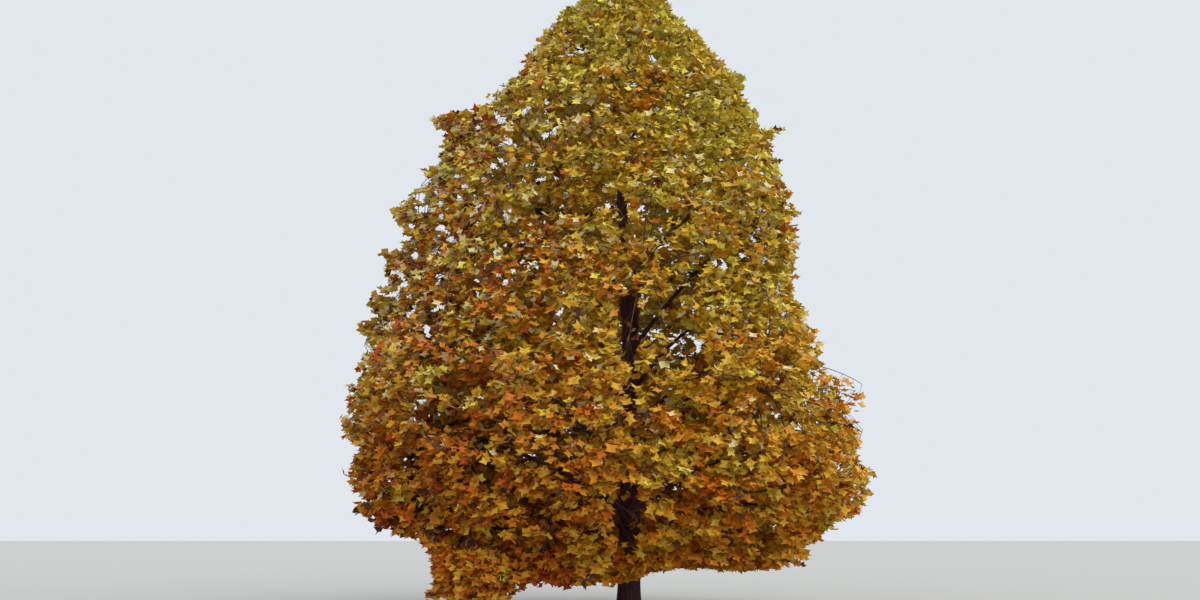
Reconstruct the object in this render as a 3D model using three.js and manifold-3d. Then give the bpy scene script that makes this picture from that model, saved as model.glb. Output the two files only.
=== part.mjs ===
// A tulip tree in autumn leaf, in millimetres, with the ground at z = 0 and +Z up.
// One leader runs straight to the top. Limbs leave it in a golden spiral. The inner part of a limb is a bough,
// and a mass of foliage carries on from the bough's tip: a stem on the same curve, twigs that reach for evenly
// spread places just inside the crown's surface, and at the end of each twig a spray of up to three leaves. A
// leaf is much larger than life, because it stands for a whole cluster of real ones.
import * as THREE from "three";
import { mergeVertices } from "three/addons/utils/BufferGeometryUtils.js";
import Module from "manifold-3d";

const wasm = await Module();
wasm.setup();
const { clamp, degToRad, lerp } = THREE.MathUtils;

// The crown's outline: a height, then the crown's radius on its right (+X), on its left (-X), and before and behind.
const CROWN_SHAPE = [
  [550, 1900, 2600, 2000], [1000, 2900, 3400, 3050], [1500, 3550, 4400, 3850], [2100, 4350, 4800, 4450],
  [3000, 4350, 5050, 4700], [4050, 4380, 5050, 4650], [4600, 3500, 4820, 4520], [5400, 3160, 4480, 4250],
  [6800, 3120, 4270, 3700], [8200, 2930, 3850, 3100], [9100, 2750, 3700, 2650], [9600, 2480, 2550, 2380],
  [10400, 1900, 2000, 1880], [11200, 1550, 1450, 1380], [12000, 720, 780, 750], [12500, 400, 400, 400],
  [12800, 50, 50, 50],
];
const columnOf = (column) => CROWN_SHAPE.map((row) => row[column]);
const [CROWN_HEIGHTS, CROWN_RIGHT, CROWN_LEFT, CROWN_FRONT] = [0, 1, 2, 3].map(columnOf);
// Broad, shallow hollows that slant round the crown's front and back.
const HOLLOW_SHARE = 0.07;
const HOLLOW_CLIMB = 0.0013;
const AREA_STEPS = 200;

// The trunk: its centre line sways a little, and its foot flares into low ribs where the roots begin.
const TRUNK_TOP = 11250;
const TRUNK_HEIGHTS = [0, 2200, 5200, 8200, TRUNK_TOP];
const TRUNK_SWAY_X = [0, 45, 55, -90, -170];
const TRUNK_SWAY_Y = [0, -10, 30, -25, 10];
const TRUNK_FOOT_RADIUS = 205;
const TRUNK_TIP_RADIUS = 26;
const TRUNK_TAPER = 0.86;
const FLARE = 85;
const FLARE_HEIGHT = 210;
const ROOT_RIBS = 5;
const RIB_DEPTH = 30;
const TRUNK_SIDES = 15;
const TRUNK_RINGS = 14;
const RING_CROWDING = 1.6;

// The limbs. Pairs run from the lowest limb to the highest; rises are how steeply a limb starts and ends.
const GOLDEN_TURN = degToRad(137.508);
const FIRST_AZIMUTH = degToRad(200);
const LIMBS = 22;
const BOUGHS = 16;
const TIP_HEIGHTS = [1250, 11500];
const TIP_INSET = 480;
const FOOT_RISE = [degToRad(27), degToRad(60)];
const TIP_RISE = [degToRad(-24), degToRad(46)];
const FOOT_RADIUS = [54, 30];
const BOUGH_SHARE = 0.5;
const STEM_TIP_RADIUS = 18;
const COLLAR = 0.35;
const COLLAR_LENGTH = 0.06;
const BOUGH_SIDES = 6;
const BOUGH_STEPS = 3;
const STEM_SIDES = 3;
const STEM_STEPS = 3;
const TOP_STEM_TIP = 12250;
const GAP = 0.3;

// The places that the twigs reach for, at uneven depths inside the crown's surface.
const PLACES = 350;
const PLACE_HEIGHTS = [900, 12600];
const PLACE_INSET = 40;
const PLACE_DEPTH = 280;
const SEED = 7130;

// The twigs. A twig leaves its stem a little back from the place's nearest point, inside the stem's zone.
const TWIG_RADII = [8, 7];
const TWIG_BACK = 0.35;
const TWIG_ZONE = [0.05, 0.96];

// The leaves. The outline is in shares of a leaf's length, across it and along it.
const LEAF_OUTLINE = [[0.44, 0.46], [0.44, 1], [0, 0.86], [-0.44, 1], [-0.44, 0.46]];
const LEAF_CUP = 0.16;
const SPRAY_TURNS = [[85, 0, -85], [44, -44], [0]].map((turns) => turns.map(degToRad));
const VALLEY = 0.14;
const SPRAY_THICK = 14;
const SPRAY_LIFT = 0.25;
const SPRAY_TILT = 0.5;

// A spray is tried this often. From the first try to the last its leaves grow shorter and fewer, it may swing
// further round, and it is pulled back along its twig.
const SPRAY_TRIES = 90;
const LEAF_LENGTHS = [880, 540];
const SPRAY_SWING = [degToRad(40), degToRad(180)];
const SPRAY_PULL = 0.5;

// How far foliage keeps from the limbs, the next mass's space and the ground.
const LIMB_POINT_STEP = 60;
const SPACE_GAP = 16;
const SURFACE_SLACK = 60;
const LOWEST_LEAF = 450;
const TWIG_TESTS = 6;

// Leaf colours from the crown's foot to its top, each up to a height of its mass's tip.
const LEAF_COLOURS = [[4200, 0xb8701c], [8300, 0xb98d1c], [TIP_HEIGHTS[1], 0x9a8a22]];
const BARK_COLOUR = 0x4a4038;

// A repeatable stream of numbers from 0 to 1.
function seeded(seed) {
  let state = seed >>> 0;
  return () => {
    state = (state + 0x6d2b79f5) >>> 0;
    let mixed = Math.imul(state ^ (state >>> 15), state | 1);
    mixed ^= mixed + Math.imul(mixed ^ (mixed >>> 7), mixed | 61);
    return ((mixed ^ (mixed >>> 14)) >>> 0) / 2 ** 32;
  };
}

// The value at x of a smooth curve through the points (xs[i], ys[i]).
function smooth(xs, ys, x) {
  const last = xs.length - 1;
  if (x <= xs[0]) return ys[0];
  if (x >= xs[last]) return ys[last];
  const i = xs.findIndex((value) => value >= x) - 1;
  const slope = (k) => {
    const before = Math.max(k - 1, 0);
    const after = Math.min(k + 1, last);
    return (ys[after] - ys[before]) / (xs[after] - xs[before]);
  };
  const width = xs[i + 1] - xs[i];
  const t = (x - xs[i]) / width;
  return (2 * t ** 3 - 3 * t ** 2 + 1) * ys[i] + (t ** 3 - 2 * t ** 2 + t) * width * slope(i)
    + (3 * t ** 2 - 2 * t ** 3) * ys[i + 1] + (t ** 3 - t ** 2) * width * slope(i + 1);
}

const outward = (azimuth) => new THREE.Vector3(Math.cos(azimuth), Math.sin(azimuth), 0);
const sideways = (azimuth) => new THREE.Vector3(-Math.sin(azimuth), Math.cos(azimuth), 0);

function crownRadius(z, azimuth) {
  const side = smooth(CROWN_HEIGHTS, Math.cos(azimuth) > 0 ? CROWN_RIGHT : CROWN_LEFT, z);
  const front = smooth(CROWN_HEIGHTS, CROWN_FRONT, z);
  const hollow = Math.sin(azimuth) ** 2 * (1 - Math.sin(HOLLOW_CLIMB * z + azimuth)) / 2;
  return (front + (side - front) * Math.cos(azimuth) ** 2) * (1 - HOLLOW_SHARE * hollow);
}

// The height below which the given share of the crown's surface lies, between two heights.
function heightAtShare(share, [low, high]) {
  const rise = (high - low) / AREA_STEPS;
  const areas = [0];
  for (let i = 1; i <= AREA_STEPS; i++) {
    const below = crownRadius(low + rise * (i - 1), Math.PI / 2);
    const above = crownRadius(low + rise * i, Math.PI / 2);
    areas.push(areas[i - 1] + (below + above) / 2 * Math.hypot(rise, above - below));
  }
  const wanted = share * areas[AREA_STEPS];
  const i = Math.max(areas.findIndex((area) => area >= wanted), 1);
  return low + rise * (i - 1 + (wanted - areas[i - 1]) / (areas[i] - areas[i - 1]));
}

function trunkCentre(z) {
  return new THREE.Vector3(smooth(TRUNK_HEIGHTS, TRUNK_SWAY_X, z), smooth(TRUNK_HEIGHTS, TRUNK_SWAY_Y, z), z);
}

function trunkRadius(z) {
  return lerp(TRUNK_TIP_RADIUS, TRUNK_FOOT_RADIUS, Math.max(1 - z / TRUNK_TOP, 0) ** TRUNK_TAPER);
}

// The trunk's closed surface, `extra` proud of it all round where it is used to cut its neighbours clear.
function trunkGeometry(extra) {
  const geometry = new THREE.CylinderGeometry(1, 1, 1, TRUNK_SIDES, TRUNK_RINGS);
  geometry.rotateX(Math.PI / 2);
  const position = geometry.getAttribute("position");
  for (let i = 0; i < position.count; i++) {
    const z = TRUNK_TOP * (position.getZ(i) + 0.5) ** RING_CROWDING;
    const turn = Math.atan2(position.getY(i), position.getX(i));
    const flare = (FLARE + RIB_DEPTH * Math.cos(ROOT_RIBS * turn)) * Math.exp(-z / FLARE_HEIGHT);
    const reach = Math.hypot(position.getX(i), position.getY(i)) * (trunkRadius(z) + flare + extra);
    const point = trunkCentre(z).addScaledVector(outward(turn), reach);
    position.setXYZ(i, point.x, point.y, z + (z === TRUNK_TOP ? extra : 0));
  }
  return geometry;
}

// Limb i: its curve from the trunk's axis to its tip, and where on it the bough ends and the stem begins.
function limbPlan(i) {
  const azimuth = FIRST_AZIMUTH + i * GOLDEN_TURN;
  const tipHeight = heightAtShare((i + 0.5) / LIMBS, TIP_HEIGHTS);
  const reach = crownRadius(tipHeight, azimuth) - TIP_INSET;
  const up = (tipHeight - TIP_HEIGHTS[0]) / (TIP_HEIGHTS[1] - TIP_HEIGHTS[0]);
  const footRise = reach / 2 * Math.tan(lerp(...FOOT_RISE, up ** 0.7));
  const tipRise = reach / 2 * Math.tan(lerp(...TIP_RISE, up ** 0.8));
  const foot = trunkCentre(tipHeight - footRise - tipRise);
  const bend = foot.clone().addScaledVector(outward(azimuth), reach / 2).setZ(foot.z + footRise);
  const tip = outward(azimuth).multiplyScalar(reach).setZ(tipHeight);
  return {
    azimuth,
    curve: new THREE.QuadraticBezierCurve3(foot, bend, tip),
    leavesTrunkAt: trunkRadius(foot.z) / reach,
    stemFrom: i < BOUGHS ? BOUGH_SHARE : 0,
    footRadius: lerp(...FOOT_RADIUS, up),
    colour: LEAF_COLOURS.find(([height]) => tipHeight <= height)[1],
  };
}

// The top mass's stem goes straight on from the leader's tip.
function topPlan() {
  const foot = trunkCentre(TRUNK_TOP);
  const tip = foot.clone().setZ(TOP_STEM_TIP);
  return {
    azimuth: 0,
    curve: new THREE.QuadraticBezierCurve3(foot, foot.clone().lerp(tip, 0.5), tip),
    leavesTrunkAt: 0,
    stemFrom: 0,
    footRadius: TRUNK_TIP_RADIUS / (1 + COLLAR),
    colour: LEAF_COLOURS.at(-1)[1],
  };
}

// The limb's radius at t of its whole curve, with a collar where it leaves the trunk.
function limbRadius(plan, t) {
  const collar = 1 + COLLAR * Math.exp(-Math.max(t - plan.leavesTrunkAt, 0) / COLLAR_LENGTH);
  return lerp(plan.footRadius * collar, STEM_TIP_RADIUS, t);
}

// A closed tapering tube along a limb between two places: a cylinder whose rings are laid on the limb's curve.
function limbGeometry(plan, from, to, sides, steps) {
  const geometry = new THREE.CylinderGeometry(1, 1, 1, sides, steps);
  const position = geometry.getAttribute("position");
  const aside = sideways(plan.azimuth);
  for (let i = 0; i < position.count; i++) {
    const t = lerp(from, to, 0.5 - position.getY(i));
    const over = new THREE.Vector3().crossVectors(plan.curve.getTangent(t), aside);
    const radius = limbRadius(plan, t);
    const point = plan.curve.getPoint(t)
      .addScaledVector(aside, position.getX(i) * radius)
      .addScaledVector(over, position.getZ(i) * radius);
    position.setXYZ(i, point.x, point.y, point.z);
  }
  return geometry;
}

// A straight twig of three sides that opens into a spray: sharp-edged leaves side by side round the twig's tip,
// each with four lobes and a notch. The spray points along `points` and its upper side faces `upper`.
function spray({ root, tip, radii, length, turns, points, upper }) {
  const across = new THREE.Vector3().crossVectors(points, upper).normalize();
  const face = new THREE.Vector3().crossVectors(across, points);
  const along = new THREE.Vector3().subVectors(tip, root).normalize();
  const aside = across.clone().projectOnPlane(along).normalize();
  const over = new THREE.Vector3().crossVectors(aside, along);
  const ring = (centre, radius) => [[1, 0.5], [-1, 0.5], [0, -1]].map(([x, y]) => (
    centre.clone().addScaledVector(aside, x * radius).addScaledVector(over, y * radius)));
  const place = (turn, x, y, rise) => tip.clone()
    .addScaledVector(across, (y * Math.sin(turn) + x * Math.cos(turn)) * length)
    .addScaledVector(points, (y * Math.cos(turn) - x * Math.sin(turn)) * length)
    .addScaledVector(face, rise * length);
  const leaf = (turn) => LEAF_OUTLINE.map(([x, y]) => place(turn, x, y, LEAF_CUP * (x ? -y : 0.4 - y)));
  const leaves = turns.flatMap((turn, k) => (
    k ? [place((turn + turns[k - 1]) / 2, 0, VALLEY, 0), ...leaf(turn)] : leaf(turn)));
  const rootRing = ring(root, radii[0]);
  const [right, left, below] = ring(tip, radii[1]);
  const triangles = [...rootRing];
  [right, left, below].forEach((corner, k, tipRing) => {
    const next = (k + 1) % 3;
    triangles.push(rootRing[next], rootRing[k], corner, rootRing[next], corner, tipRing[next]);
  });
  const outline = [right, ...leaves, left];
  const top = tip.clone().addScaledVector(face, SPRAY_THICK);
  for (let k = 1; k < outline.length; k++) {
    triangles.push(outline[k - 1], outline[k], top, outline[k], outline[k - 1], below);
  }
  triangles.push(left, right, top);
  return { geometry: new THREE.BufferGeometry().setFromPoints(triangles), outline, top };
}

function solidOf(geometry) {
  const bare = geometry.clone();
  bare.deleteAttribute("normal");
  bare.deleteAttribute("uv");
  const merged = mergeVertices(bare, 1e-3);
  return new wasm.Manifold(new wasm.Mesh({
    numProp: 3,
    vertProperties: new Float32Array(merged.getAttribute("position").array),
    triVerts: new Uint32Array(merged.index.array),
  }));
}

function geometryOf(solid) {
  const mesh = solid.getMesh();
  const geometry = new THREE.BufferGeometry();
  geometry.setAttribute("position", new THREE.BufferAttribute(mesh.vertProperties, 3));
  geometry.setIndex(new THREE.BufferAttribute(mesh.triVerts, 1));
  return geometry;
}

// The trunk and boughs, which foliage keeps clear of, as points with a radius.
function limbPoints(plans) {
  const found = [];
  for (let z = 0; z <= TRUNK_TOP; z += LIMB_POINT_STEP) {
    found.push({ point: trunkCentre(z), radius: trunkRadius(z) + FLARE * Math.exp(-z / FLARE_HEIGHT) });
  }
  for (const { curve, stemFrom, ...plan } of plans) {
    const count = Math.ceil(curve.getLength() * stemFrom / LIMB_POINT_STEP);
    for (let k = 0; k < count; k++) {
      const t = stemFrom * k / count;
      found.push({ point: curve.getPoint(t), radius: limbRadius(plan, t) });
    }
  }
  return found;
}

// The distance from a point to a mass's stem, and how far along the stem's rings the nearest place is.
function nearestOnStem(plan, point) {
  const best = { distance: Infinity, along: 0 };
  const line = new THREE.Line3();
  const place = new THREE.Vector3();
  for (let k = 0; k < STEM_STEPS; k++) {
    line.set(plan.stemPoints[k], plan.stemPoints[k + 1]);
    const part = line.closestPointToPointParameter(point, true);
    const distance = line.at(part, place).distanceTo(point);
    if (distance < best.distance) Object.assign(best, { distance, along: (k + part) / STEM_STEPS });
  }
  return best;
}

// A mass's own space is the part of the crown, above the lowest leaf, where its stem is nearer than any other.
function inSpace(plans, plan, point) {
  const limit = crownRadius(point.z, Math.atan2(point.y, point.x)) + SURFACE_SLACK;
  if (point.z < LOWEST_LEAF || Math.hypot(point.x, point.y) > limit) return false;
  const own = nearestOnStem(plan, point).distance + SPACE_GAP;
  return plans.every((other) => other === plan || nearestOnStem(other, point).distance > own);
}

// Spreads places evenly over the crown's surface and gives each to the mass whose stem is nearest.
function sharePlaces(plans) {
  const random = seeded(SEED);
  for (let k = 0; k < PLACES; k++) {
    const height = heightAtShare((k + 0.5) / PLACES, PLACE_HEIGHTS);
    const azimuth = k * GOLDEN_TURN;
    const depth = PLACE_INSET + PLACE_DEPTH * random();
    const reach = Math.max(crownRadius(height, azimuth) - depth, PLACE_INSET / 2);
    const point = outward(azimuth).multiplyScalar(reach).setZ(height);
    const near = plans.map((plan) => nearestOnStem(plan, point));
    const own = near.reduce((best, place, i) => (place.distance < near[best].distance ? i : best), 0);
    plans[own].places.push({ point, azimuth, ...near[own] });
  }
  plans.forEach(({ places }) => places.sort((a, b) => a.distance - b.distance));
}

// Where on the stem's axis the twig to a place begins.
function twigRoot(plan, { distance, along }) {
  const length = plan.stemPoints[0].distanceTo(plan.stemPoints[STEM_STEPS]);
  const back = along - TWIG_BACK * distance / length;
  const place = clamp(back, plan.clearFrom + TWIG_ZONE[0], TWIG_ZONE[1]) * STEM_STEPS;
  const k = Math.floor(place);
  return plan.stemPoints[k].clone().lerp(plan.stemPoints[k + 1], place - k);
}

// Which way a spray points and which way its upper side faces: it hangs down along the crown's surface, swung
// to one side, with its far end lifted off the surface and its upper side outward.
function sprayPose({ point, azimuth }, mostSwing, random) {
  const slope = (crownRadius(point.z + 300, azimuth) - crownRadius(point.z - 300, azimuth)) / 600;
  const out = outward(azimuth).setZ(Math.max(-slope, -0.3)).normalize();
  const side = sideways(azimuth);
  const down = new THREE.Vector3().crossVectors(side, out);
  const swing = mostSwing * (2 * random() - 1);
  const tilt = () => SPRAY_TILT * (random() - 0.5);
  const points = down.multiplyScalar(Math.cos(swing)).addScaledVector(side, Math.sin(swing))
    .addScaledVector(out, SPRAY_LIFT + tilt()).normalize();
  const upper = out.addScaledVector(side, tilt()).add(new THREE.Vector3(0, 0, tilt()));
  return { points, upper };
}

// Whether a spray and its twig keep to their mass's space and touch no limb.
function isClear(plans, plan, limbs, { root, tip }, { outline, top }) {
  const nearest = new THREE.Vector3();
  const twig = new THREE.Line3(root, tip);
  const twigTests = Array.from({ length: TWIG_TESTS }, (_, k) => root.clone().lerp(tip, (k + 1) / TWIG_TESTS));
  const leafTests = outline.flatMap((point) => [point, point.clone().lerp(top, 0.5)]);
  if (![...twigTests, ...leafTests].every((point) => inSpace(plans, plan, point))) return false;
  const blades = outline.slice(1).map((corner, k) => new THREE.Triangle(outline[k], corner, top));
  const firstTest = 1 / TWIG_TESTS;
  return limbs.every(({ point, radius }) => {
    if (point.distanceTo(tip) > LEAF_LENGTHS[0] + tip.distanceTo(root)) return true;
    const room = radius + LIMB_POINT_STEP / 2;
    const part = Math.max(twig.closestPointToPointParameter(point, true), firstTest);
    return twig.at(part, nearest).distanceTo(point) > room && blades.every((blade) => (
      blade.closestPointToPoint(point, nearest).distanceTo(point) > room));
  });
}

// One mass: its stem, and each place's spray in the first try that is clear of everything else.
function massSolid(plans, plan, limbs, seed) {
  const random = seeded(seed);
  const from = plan.stemFrom + (plan.stemFrom ? GAP / plan.curve.getLength() : 0);
  const grown = [];
  for (const place of plan.places) {
    const root = twigRoot(plan, place);
    for (let attempt = 0; attempt < SPRAY_TRIES; attempt++) {
      const share = attempt / SPRAY_TRIES;
      const shape = {
        root,
        tip: place.point.clone().lerp(root, SPRAY_PULL * share),
        radii: TWIG_RADII,
        length: lerp(...LEAF_LENGTHS, share),
        turns: SPRAY_TURNS[Math.floor(share * SPRAY_TURNS.length)],
        ...sprayPose(place, lerp(...SPRAY_SWING, share), random),
      };
      const whole = spray(shape);
      if (!isClear(plans, plan, limbs, shape, whole)) continue;
      const twigEnd = { root: root.clone().lerp(shape.tip, 0.9), radii: [TWIG_RADII[1], TWIG_RADII[1]] };
      const solid = solidOf(whole.geometry);
      const leaves = solidOf(spray({ ...shape, ...twigEnd }).geometry);
      if (grown.some((other) => !other.solid.intersect(leaves).isEmpty())) continue;
      if (grown.some((other) => !other.leaves.intersect(solid).isEmpty())) continue;
      grown.push({ solid, leaves });
      break;
    }
  }
  const stem = solidOf(limbGeometry(plan, from, 1, STEM_SIDES, STEM_STEPS));
  const bodies = wasm.Manifold.union([stem, ...grown.map(({ solid }) => solid)]).decompose();
  return bodies.reduce((largest, body) => (body.volume() > largest.volume() ? body : largest));
}

const plans = [...Array.from({ length: LIMBS }, (_, i) => limbPlan(i)), topPlan()];
for (const plan of plans) {
  plan.places = [];
  plan.clearFrom = Math.max(plan.leavesTrunkAt - plan.stemFrom, 0) / (1 - plan.stemFrom);
  plan.stemPoints = Array.from({ length: STEM_STEPS + 1 }, (_, k) => (
    plan.curve.getPoint(lerp(plan.stemFrom, 1, k / STEM_STEPS))));
}
sharePlaces(plans);
const limbs = limbPoints(plans);

const tree = new THREE.Group();
tree.name = "tulip_tree";
function add(name, solid, color, roughness) {
  const material = new THREE.MeshStandardMaterial({ color, roughness, metalness: 0 });
  const mesh = new THREE.Mesh(geometryOf(solid), material);
  mesh.name = name;
  tree.add(mesh);
}

const trunkCutter = solidOf(trunkGeometry(GAP));
add("trunk", solidOf(trunkGeometry(0)), BARK_COLOUR, 0.95);
plans.forEach((plan, i) => {
  const number = String(i + 1).padStart(2, "0");
  if (plan.stemFrom) {
    const bough = solidOf(limbGeometry(plan, 0, plan.stemFrom, BOUGH_SIDES, BOUGH_STEPS)).subtract(trunkCutter);
    add(`bough_${number}`, bough, BARK_COLOUR, 0.9);
  }
  const grown = massSolid(plans, plan, limbs, SEED + 1 + i);
  const mass = plan.stemFrom ? grown : grown.subtract(trunkCutter);
  add(i < LIMBS ? `foliage_${number}` : "foliage_top", mass, plan.colour, 0.7);
});

export default tree;
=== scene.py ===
# %% [markdown]
# # A tulip tree in autumn leaf
#
# The imported solids give this tree's trunk, its main boughs and the true outline of its crown, but each of
# their leaves stands for a whole cluster. Here the same tree grows on by the same rule: the masses become
# stems, twigs, shoots and about 130,000 leaves of their real size, and the trunk and boughs get real bark.
# Everything is in metres, with the ground at z = 0 and +Z up. The frame is loaded first, and its box is kept.

# %% Load the frame
import math

import bpy
import numpy as np
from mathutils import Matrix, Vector
from mathutils.kdtree import KDTree


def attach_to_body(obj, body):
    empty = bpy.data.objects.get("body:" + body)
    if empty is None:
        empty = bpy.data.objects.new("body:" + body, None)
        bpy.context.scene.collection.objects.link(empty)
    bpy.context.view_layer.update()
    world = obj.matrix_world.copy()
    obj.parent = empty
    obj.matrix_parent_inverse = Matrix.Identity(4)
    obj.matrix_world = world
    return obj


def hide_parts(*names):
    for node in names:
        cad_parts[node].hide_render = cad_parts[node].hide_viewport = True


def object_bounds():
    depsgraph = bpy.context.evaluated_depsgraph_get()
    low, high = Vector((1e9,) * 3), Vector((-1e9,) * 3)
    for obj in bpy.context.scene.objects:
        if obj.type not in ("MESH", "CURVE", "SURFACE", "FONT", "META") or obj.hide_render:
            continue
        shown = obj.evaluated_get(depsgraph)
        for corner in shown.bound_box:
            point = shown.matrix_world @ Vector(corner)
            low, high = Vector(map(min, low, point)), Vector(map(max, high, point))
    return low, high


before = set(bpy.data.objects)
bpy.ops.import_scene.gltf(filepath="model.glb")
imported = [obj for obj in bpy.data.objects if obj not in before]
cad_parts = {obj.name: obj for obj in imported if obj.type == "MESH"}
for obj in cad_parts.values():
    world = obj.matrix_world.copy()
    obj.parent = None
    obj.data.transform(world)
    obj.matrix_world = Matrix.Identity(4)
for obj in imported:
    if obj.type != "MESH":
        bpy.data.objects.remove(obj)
cad_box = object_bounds()
BODY = "root"
MASSES = sorted(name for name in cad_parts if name.startswith("foliage_"))
BOUGHS = sorted(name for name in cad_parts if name.startswith("bough_"))
box_sides = [round(side, 2) for side in cad_box[1] - cad_box[0]]
print(f"{len(BOUGHS)} boughs and {len(MASSES)} masses in a box {box_sides}")

# %% [markdown]
# ## Camera
#
# The photograph's camera stood 17 m away at eye height, with a wide lens tilted up to take in the crown. A
# camera is an object with a lens: its focal length in pixels, times the sensor's width over the picture's
# width, gives the lens in millimetres. Tilting the camera is better than shifting the lens, because the real
# one was tilted too, and the trunk and the sides of the crown then lean together as they do in the
# photograph.

# %% Camera
PICTURE_WIDTH = 1200
FOCAL_LENGTH = 933
SENSOR_WIDTH = 36.0
EYE = Vector((-0.49, -17.0, 1.5))
PITCH = math.radians(13.85)


def add_object(name, data):
    """A new object in the scene that shows a camera, a mesh or a light."""
    made = bpy.data.objects.new(name, data)
    bpy.context.scene.collection.objects.link(made)
    return made


camera_data = bpy.data.cameras.new("camera")
camera_data.sensor_width = SENSOR_WIDTH
camera_data.lens = FOCAL_LENGTH / PICTURE_WIDTH * SENSOR_WIDTH
camera = add_object("camera", camera_data)
camera.location = EYE
camera.rotation_euler = (math.pi / 2 + PITCH, 0, 0)
bpy.context.scene.camera = camera
print(f"camera: {camera_data.lens:.1f} mm lens, {math.degrees(PITCH):.1f} degrees up")

# %% [markdown]
# ## The crown's outline
#
# A tree has no drawn outline: its crown ends where the light made the twigs stop. It could be copied from the
# solids' meshes, but a short table of radii is clearer, and it is the one that the solids grew by. A row is a
# height, then the crown's radius on the right (+X), on the left (-X), and in front and behind. A smooth curve
# runs through the rows. The right side has a ledge at 4 m, where one old bough reaches out, and the left a
# shoulder at 9 m. Both fade out round the crown, which has a few broad, shallow hollows besides.

# %% The crown's outline
CROWN_SHAPE = np.array([
    [0.55, 1.9, 2.6, 2], [1, 2.9, 3.4, 3.05], [1.5, 3.55, 4.4, 3.85], [2.1, 4.35, 4.8, 4.45],
    [3, 4.35, 5.05, 4.7], [4.05, 4.38, 5.05, 4.65], [4.6, 3.5, 4.82, 4.52], [5.4, 3.16, 4.48, 4.25],
    [6.8, 3.12, 4.27, 3.7], [8.2, 2.93, 3.85, 3.1], [9.1, 2.75, 3.7, 2.65], [9.6, 2.48, 2.55, 2.38],
    [10.4, 1.9, 2, 1.88], [11.2, 1.55, 1.45, 1.38], [12, 0.72, 0.78, 0.75], [12.5, 0.4, 0.4, 0.4],
    [12.8, 0.05, 0.05, 0.05],
])
HOLLOW_SHARE = 0.07
HOLLOW_CLIMB = 1.3
AREA_STEPS = 200
WIDEST_AT = 3.3


def smooth(xs, ys, x):
    """The values at x of a smooth curve through the points (xs, ys)."""
    xs, ys, x = (np.asarray(values, float) for values in (xs, ys, x))
    places = np.arange(len(xs))
    before, after = np.maximum(places - 1, 0), np.minimum(places + 1, len(xs) - 1)
    slopes = (ys[after] - ys[before]) / (xs[after] - xs[before])
    x = np.clip(x, xs[0], xs[-1])
    i = np.clip(np.searchsorted(xs, x) - 1, 0, len(xs) - 2)
    width = xs[i + 1] - xs[i]
    t = (x - xs[i]) / width
    return ((2 * t**3 - 3 * t**2 + 1) * ys[i] + (t**3 - 2 * t**2 + t) * width * slopes[i]
            + (3 * t**2 - 2 * t**3) * ys[i + 1] + (t**3 - t**2) * width * slopes[i + 1])


def crown_radius(z, azimuth):
    """The crown's radius at a height, in the direction of an azimuth."""
    heights, *sides = CROWN_SHAPE.T
    right, left, front = (smooth(heights, side, z) for side in sides)
    side = np.where(np.cos(azimuth) > 0, right, left)
    hollow = np.sin(azimuth) ** 2 * (1 - np.sin(HOLLOW_CLIMB * z + azimuth)) / 2
    return (front + (side - front) * np.cos(azimuth) ** 2) * (1 - HOLLOW_SHARE * hollow)


def height_at_share(share, low, high):
    """The height below which a share of the crown's surface lies, between two heights."""
    heights = np.linspace(low, high, AREA_STEPS + 1)
    radii = crown_radius(heights, math.pi / 2)
    bands = (radii[1:] + radii[:-1]) / 2 * np.hypot(np.diff(heights), np.diff(radii))
    areas = np.concatenate([[0], np.cumsum(bands)])
    return np.interp(np.asarray(share) * areas[-1], areas, heights)


def outward(azimuth):
    """The level direction of an azimuth, as a vector of length one."""
    return np.stack([np.cos(azimuth), np.sin(azimuth), np.zeros_like(azimuth)], -1)


def placed(azimuth, reach, height):
    """Points at a reach from the upright axis, in the direction of an azimuth, and at a height."""
    return outward(azimuth) * reach[:, None] + height[:, None] * [0, 0, 1]


def unit(vectors):
    return vectors / np.maximum(np.linalg.norm(vectors, axis=-1, keepdims=True), 1e-9)


crown_width = crown_radius(WIDEST_AT, 0.0) + crown_radius(WIDEST_AT, math.pi)
print(f"the crown is {crown_width:.2f} m wide at {WIDEST_AT} m")

# %% [markdown]
# ## The trunk's line and the limbs
#
# A tulip tree keeps one straight leader to its top, and its limbs leave the leader one above the other, each
# a golden turn (137.5 degrees) round from the last, so that none grows in another's shade. The lowest limbs
# start low and droop at their tips, and the top ones climb steeply. Each limb is one quadratic Bezier curve,
# because three points are enough to say where it starts, how it bends and where it ends.

# %% The trunk's line and the limbs
TRUNK_TOP = 11.25
TRUNK_HEIGHTS = [0, 2.2, 5.2, 8.2, TRUNK_TOP]
TRUNK_SWAY_X = [0, 0.045, 0.055, -0.09, -0.17]
TRUNK_SWAY_Y = [0, -0.01, 0.03, -0.025, 0.01]
TRUNK_FOOT_RADIUS = 0.205
TRUNK_TIP_RADIUS = 0.026
TRUNK_TAPER = 0.86
GOLDEN_TURN = math.radians(137.508)
FIRST_AZIMUTH = math.radians(200)
LIMBS = 22
TIP_HEIGHTS = [1.25, 11.5]
TIP_INSET = 0.48
FOOT_RISE = [math.radians(27), math.radians(60)]
TIP_RISE = [math.radians(-24), math.radians(46)]
FOOT_RISE_POWER = 0.7
TIP_RISE_POWER = 0.8
FOOT_RADIUS = [0.054, 0.03]
BOUGH_SHARE = 0.5
STEM_TIP_RADIUS = 0.018
COLLAR = 0.35
COLLAR_LENGTH = 0.06
TOP_STEM_TIP = 12.25


def lerp(ends, share):
    """The value a share of the way from the first end to the second."""
    return ends[0] + (ends[1] - ends[0]) * share


def trunk_centre(z):
    z = np.asarray(z, float)
    return np.stack([smooth(TRUNK_HEIGHTS, TRUNK_SWAY_X, z), smooth(TRUNK_HEIGHTS, TRUNK_SWAY_Y, z), z], -1)


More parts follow.
